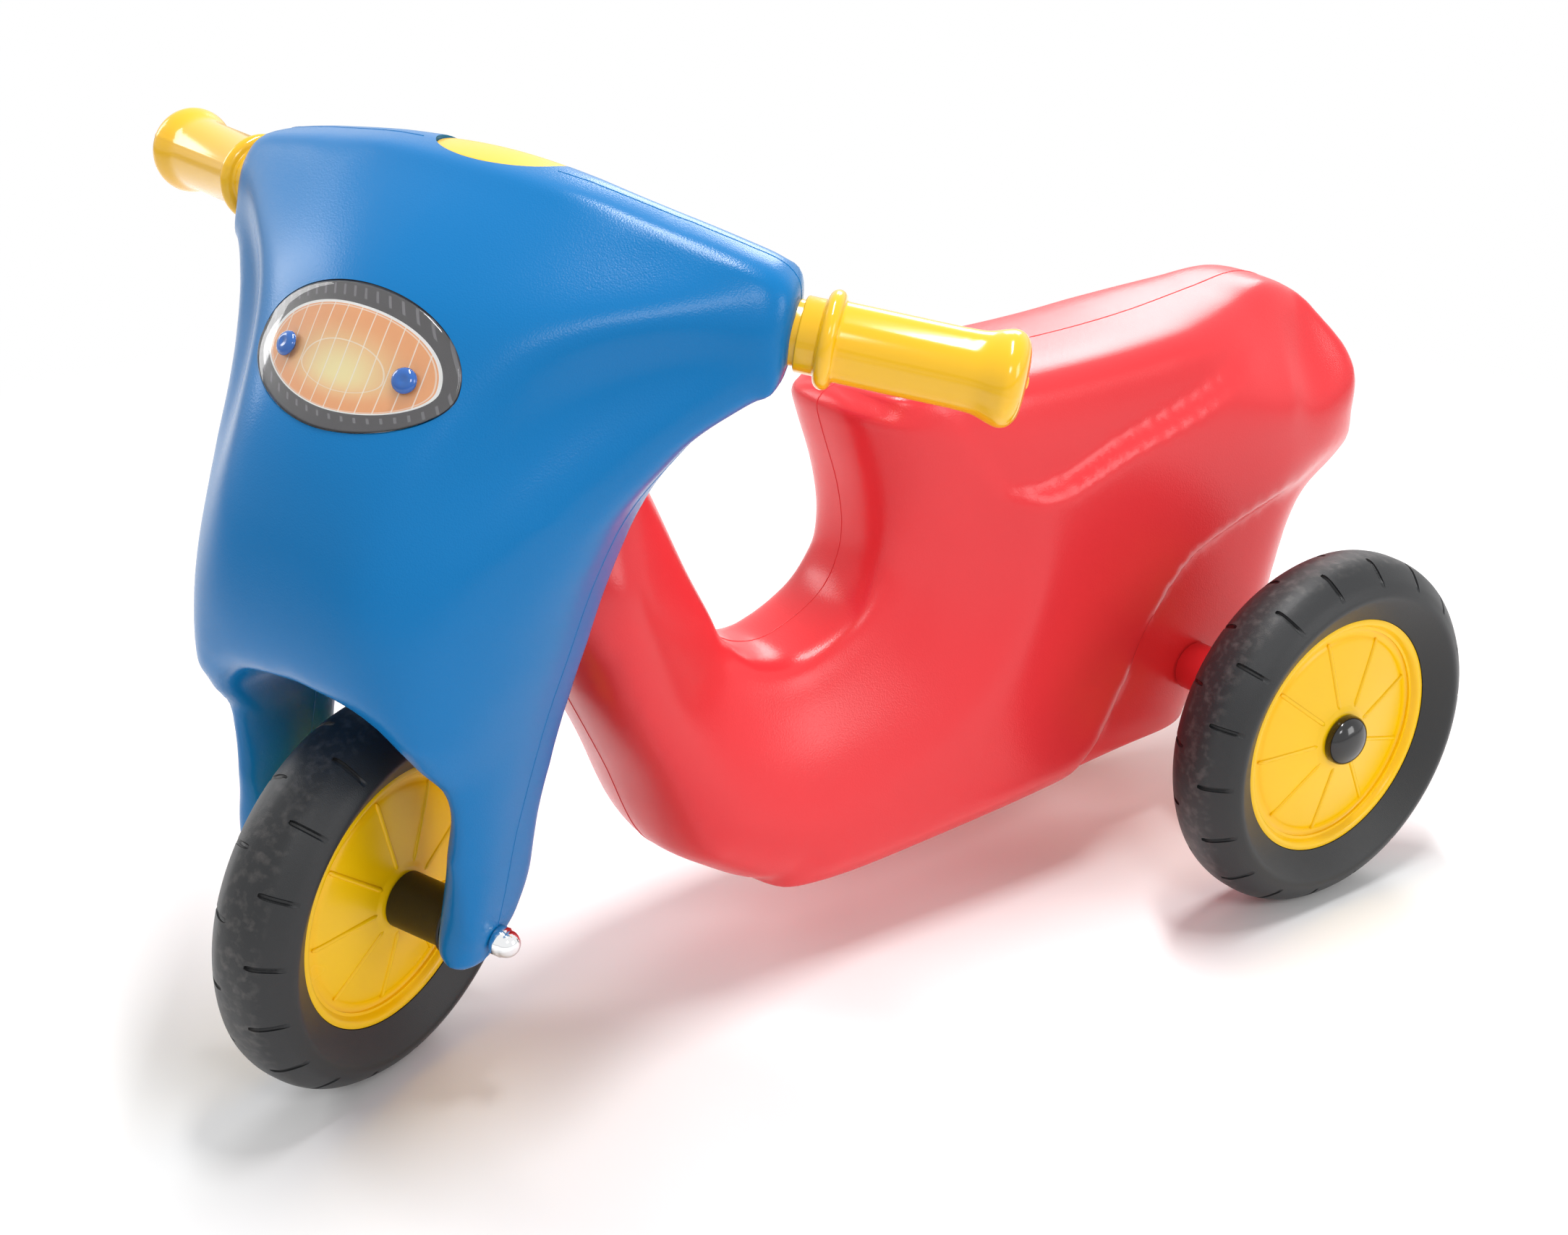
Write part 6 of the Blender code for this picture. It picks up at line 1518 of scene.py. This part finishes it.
def rib_tool():
    """One rounded rib on each face, lying along the cone of the web."""
    channel = RIM_LIP_HALF_WIDTH - RIM_CHANNEL_DEPTH
    cone = through([(HUB_RADIUS + 2.0, HUB_HALF_WIDTH - 0.9), (RIM_WEB_RADIUS, channel + 1.3)])
    points, faces = [], []
    stations = np.linspace(RIB_START, RIB_END, RIB_SECTIONS)
    arc = [math.radians(180.0 * k / (RIB_SIDES - 1)) for k in range(RIB_SIDES)]
    for sign in (1, -1):
        first = len(points)
        for radius in stations:
            near_end = min(radius - RIB_START, RIB_END - radius) / RIB_WIDTH
            share = round_end(0.08 + near_end)
            for angle in arc:
                rise = (RIB_HEIGHT + RIB_SUNK) * math.sin(angle) * share
                points.append((sign * (float(cone(radius)) - RIB_SUNK + rise), radius,
                               RIB_WIDTH / 2 * math.cos(angle) * share))
        faces += bar_faces(first, RIB_SECTIONS, RIB_SIDES)
    return closed_mesh("rib_tool", points, faces)


rib_ring = ring_of_copies("rim_ribs", cuts=False)
half_section = rim_section()
for wheel, (place, body, _) in WHEELS.items():
    section = half_section + [(-x, radius) for x, radius in reversed(half_section)]
    plain = turned(f"{wheel}_rim_blank", section, WHEEL_FINE_STEPS)
    rim = with_copies(plain, rib_tool(), rib_ring, RIB_COUNT, RIB_PHASE, rim_yellow)
    rim.transform(place)
    shown(f"{wheel}_rim_moulding", rim, rim_yellow, body, "yellow_plastic", f"{wheel}_rim", sharp=50.0)


# Studio
# A white paper floor that takes the shadow and goes plain white further off, a long soft box above,
# and softer ones left, right, near and behind.

AMBIENT = 0.42
FLOOR_REACH = 30.0
FLOOR_DROP = 0.2
SHADOW_REACH = 0.55
SHADOW_FADE = 1.7
PAPER_WHITE = (0.985, 0.98, 0.978)


def light(name, place, aim_height, size, power):
    """A soft box in metres and watts, turned to a point above the middle of the floor."""
    lamp = bpy.data.lights.new(name, 'AREA')
    lamp.shape = 'RECTANGLE'
    lamp.size, lamp.size_y = size
    lamp.energy = power
    holder = in_scene(name, lamp)
    holder.location = place
    holder.rotation_euler = (Vector((0, 0, aim_height)) - Vector(place)).to_track_quat('-Z', 'Y').to_euler()


light("top_strip", place=(0.1, 0.15, 1.95), aim_height=0.15, size=(1.1, 0.2), power=27)
light("left_soft", place=(-1.9, -1.1, 1.3), aim_height=0.2, size=(0.7, 1.1), power=13)
light("right_soft", place=(2.2, 1.1, 0.9), aim_height=0.2, size=(0.9, 1.0), power=12)
light("near_soft", place=(1.7, -0.7, 1.5), aim_height=0.2, size=(0.45, 0.45), power=6)
light("back_rim", place=(-1.3, 1.5, 1.3), aim_height=0.2, size=(0.9, 0.7), power=14)

world = bpy.data.worlds.new("studio")
bpy.context.scene.world = world
world.use_nodes = True
sky, sky_links = world.node_tree.nodes, world.node_tree.links
ray = sky.new("ShaderNodeLightPath").outputs
seen = worked_out(sky, sky_links, 'MAXIMUM', ray["Is Camera Ray"], ray["Is Transmission Ray"])
shine = worked_out(sky, sky_links, 'MAXIMUM', seen, ray["Is Glossy Ray"])
strength = worked_out(sky, sky_links, 'MULTIPLY_ADD', shine, 1.0 - AMBIENT, AMBIENT)
sky_links.new(strength, sky["Background"].inputs["Strength"])
sky["Background"].inputs["Color"].default_value = (1, 1, 1, 1)

floor_mesh = bpy.data.meshes.new("floor")
corners = [(x * FLOOR_REACH, y * FLOOR_REACH, 0) for x, y in ((-1, -1), (1, -1), (1, 1), (-1, 1))]
floor_mesh.from_pydata(corners, [], [(0, 1, 2, 3)])
floor = in_scene("floor", floor_mesh)
paper, sheet, sheet_links, paper_shader = new_material("white_paper")
paper_shader.inputs["Base Color"].default_value = (*PAPER_WHITE, 1)
paper_shader.inputs["Roughness"].default_value = 0.9
glow = sheet.new("ShaderNodeEmission")
spot = sheet.new("ShaderNodeTexCoord")
far = sheet.new("ShaderNodeVectorMath")
far.operation = 'LENGTH'
sheet_links.new(spot.outputs["Object"], far.inputs[0])
fade = sheet.new("ShaderNodeMapRange")
fade.interpolation_type = 'SMOOTHSTEP'
fade.inputs["From Min"].default_value = SHADOW_REACH
fade.inputs["From Max"].default_value = SHADOW_REACH * SHADOW_FADE
sheet_links.new(far.outputs["Value"], fade.inputs["Value"])
eye = sheet.new("ShaderNodeLightPath")
white = worked_out(sheet, sheet_links, 'MULTIPLY', fade.outputs["Result"], eye.outputs["Is Camera Ray"])
blend = sheet.new("ShaderNodeMixShader")
sheet_links.new(white, blend.inputs["Fac"])
sheet_links.new(paper_shader.outputs["BSDF"], blend.inputs[1])
sheet_links.new(glow.outputs["Emission"], blend.inputs[2])
sheet_links.new(blend.outputs["Shader"], sheet["Material Output"].inputs["Surface"])
floor_mesh.materials.append(paper)
floor.location.z = -FLOOR_DROP * MM


# Camera
# A short telephoto view from the rider's left front, from about twice the height of the seat.

AZIMUTH, ELEVATION, ROLL = math.radians(54.132), math.radians(24.266), math.radians(0.235)
LENS, SENSOR = 53.21, 36.0
EYE = Vector((733.0, -740.6, 555.0))
camera_data = bpy.data.cameras.new("camera")
camera_data.lens = LENS
camera_data.sensor_width = SENSOR
camera = in_scene("camera", camera_data)
camera.location = EYE * MM + GROUND
backwards = Vector((math.sin(AZIMUTH) * math.cos(ELEVATION), -math.cos(AZIMUTH) * math.cos(ELEVATION),
                    math.sin(ELEVATION)))
camera.rotation_euler = (backwards.to_track_quat('Z', 'Y').to_matrix()
                         @ Matrix.Rotation(ROLL, 3, 'Z')).to_euler()
bpy.context.scene.camera = camera
bpy.context.scene.view_settings.view_transform = 'Standard'
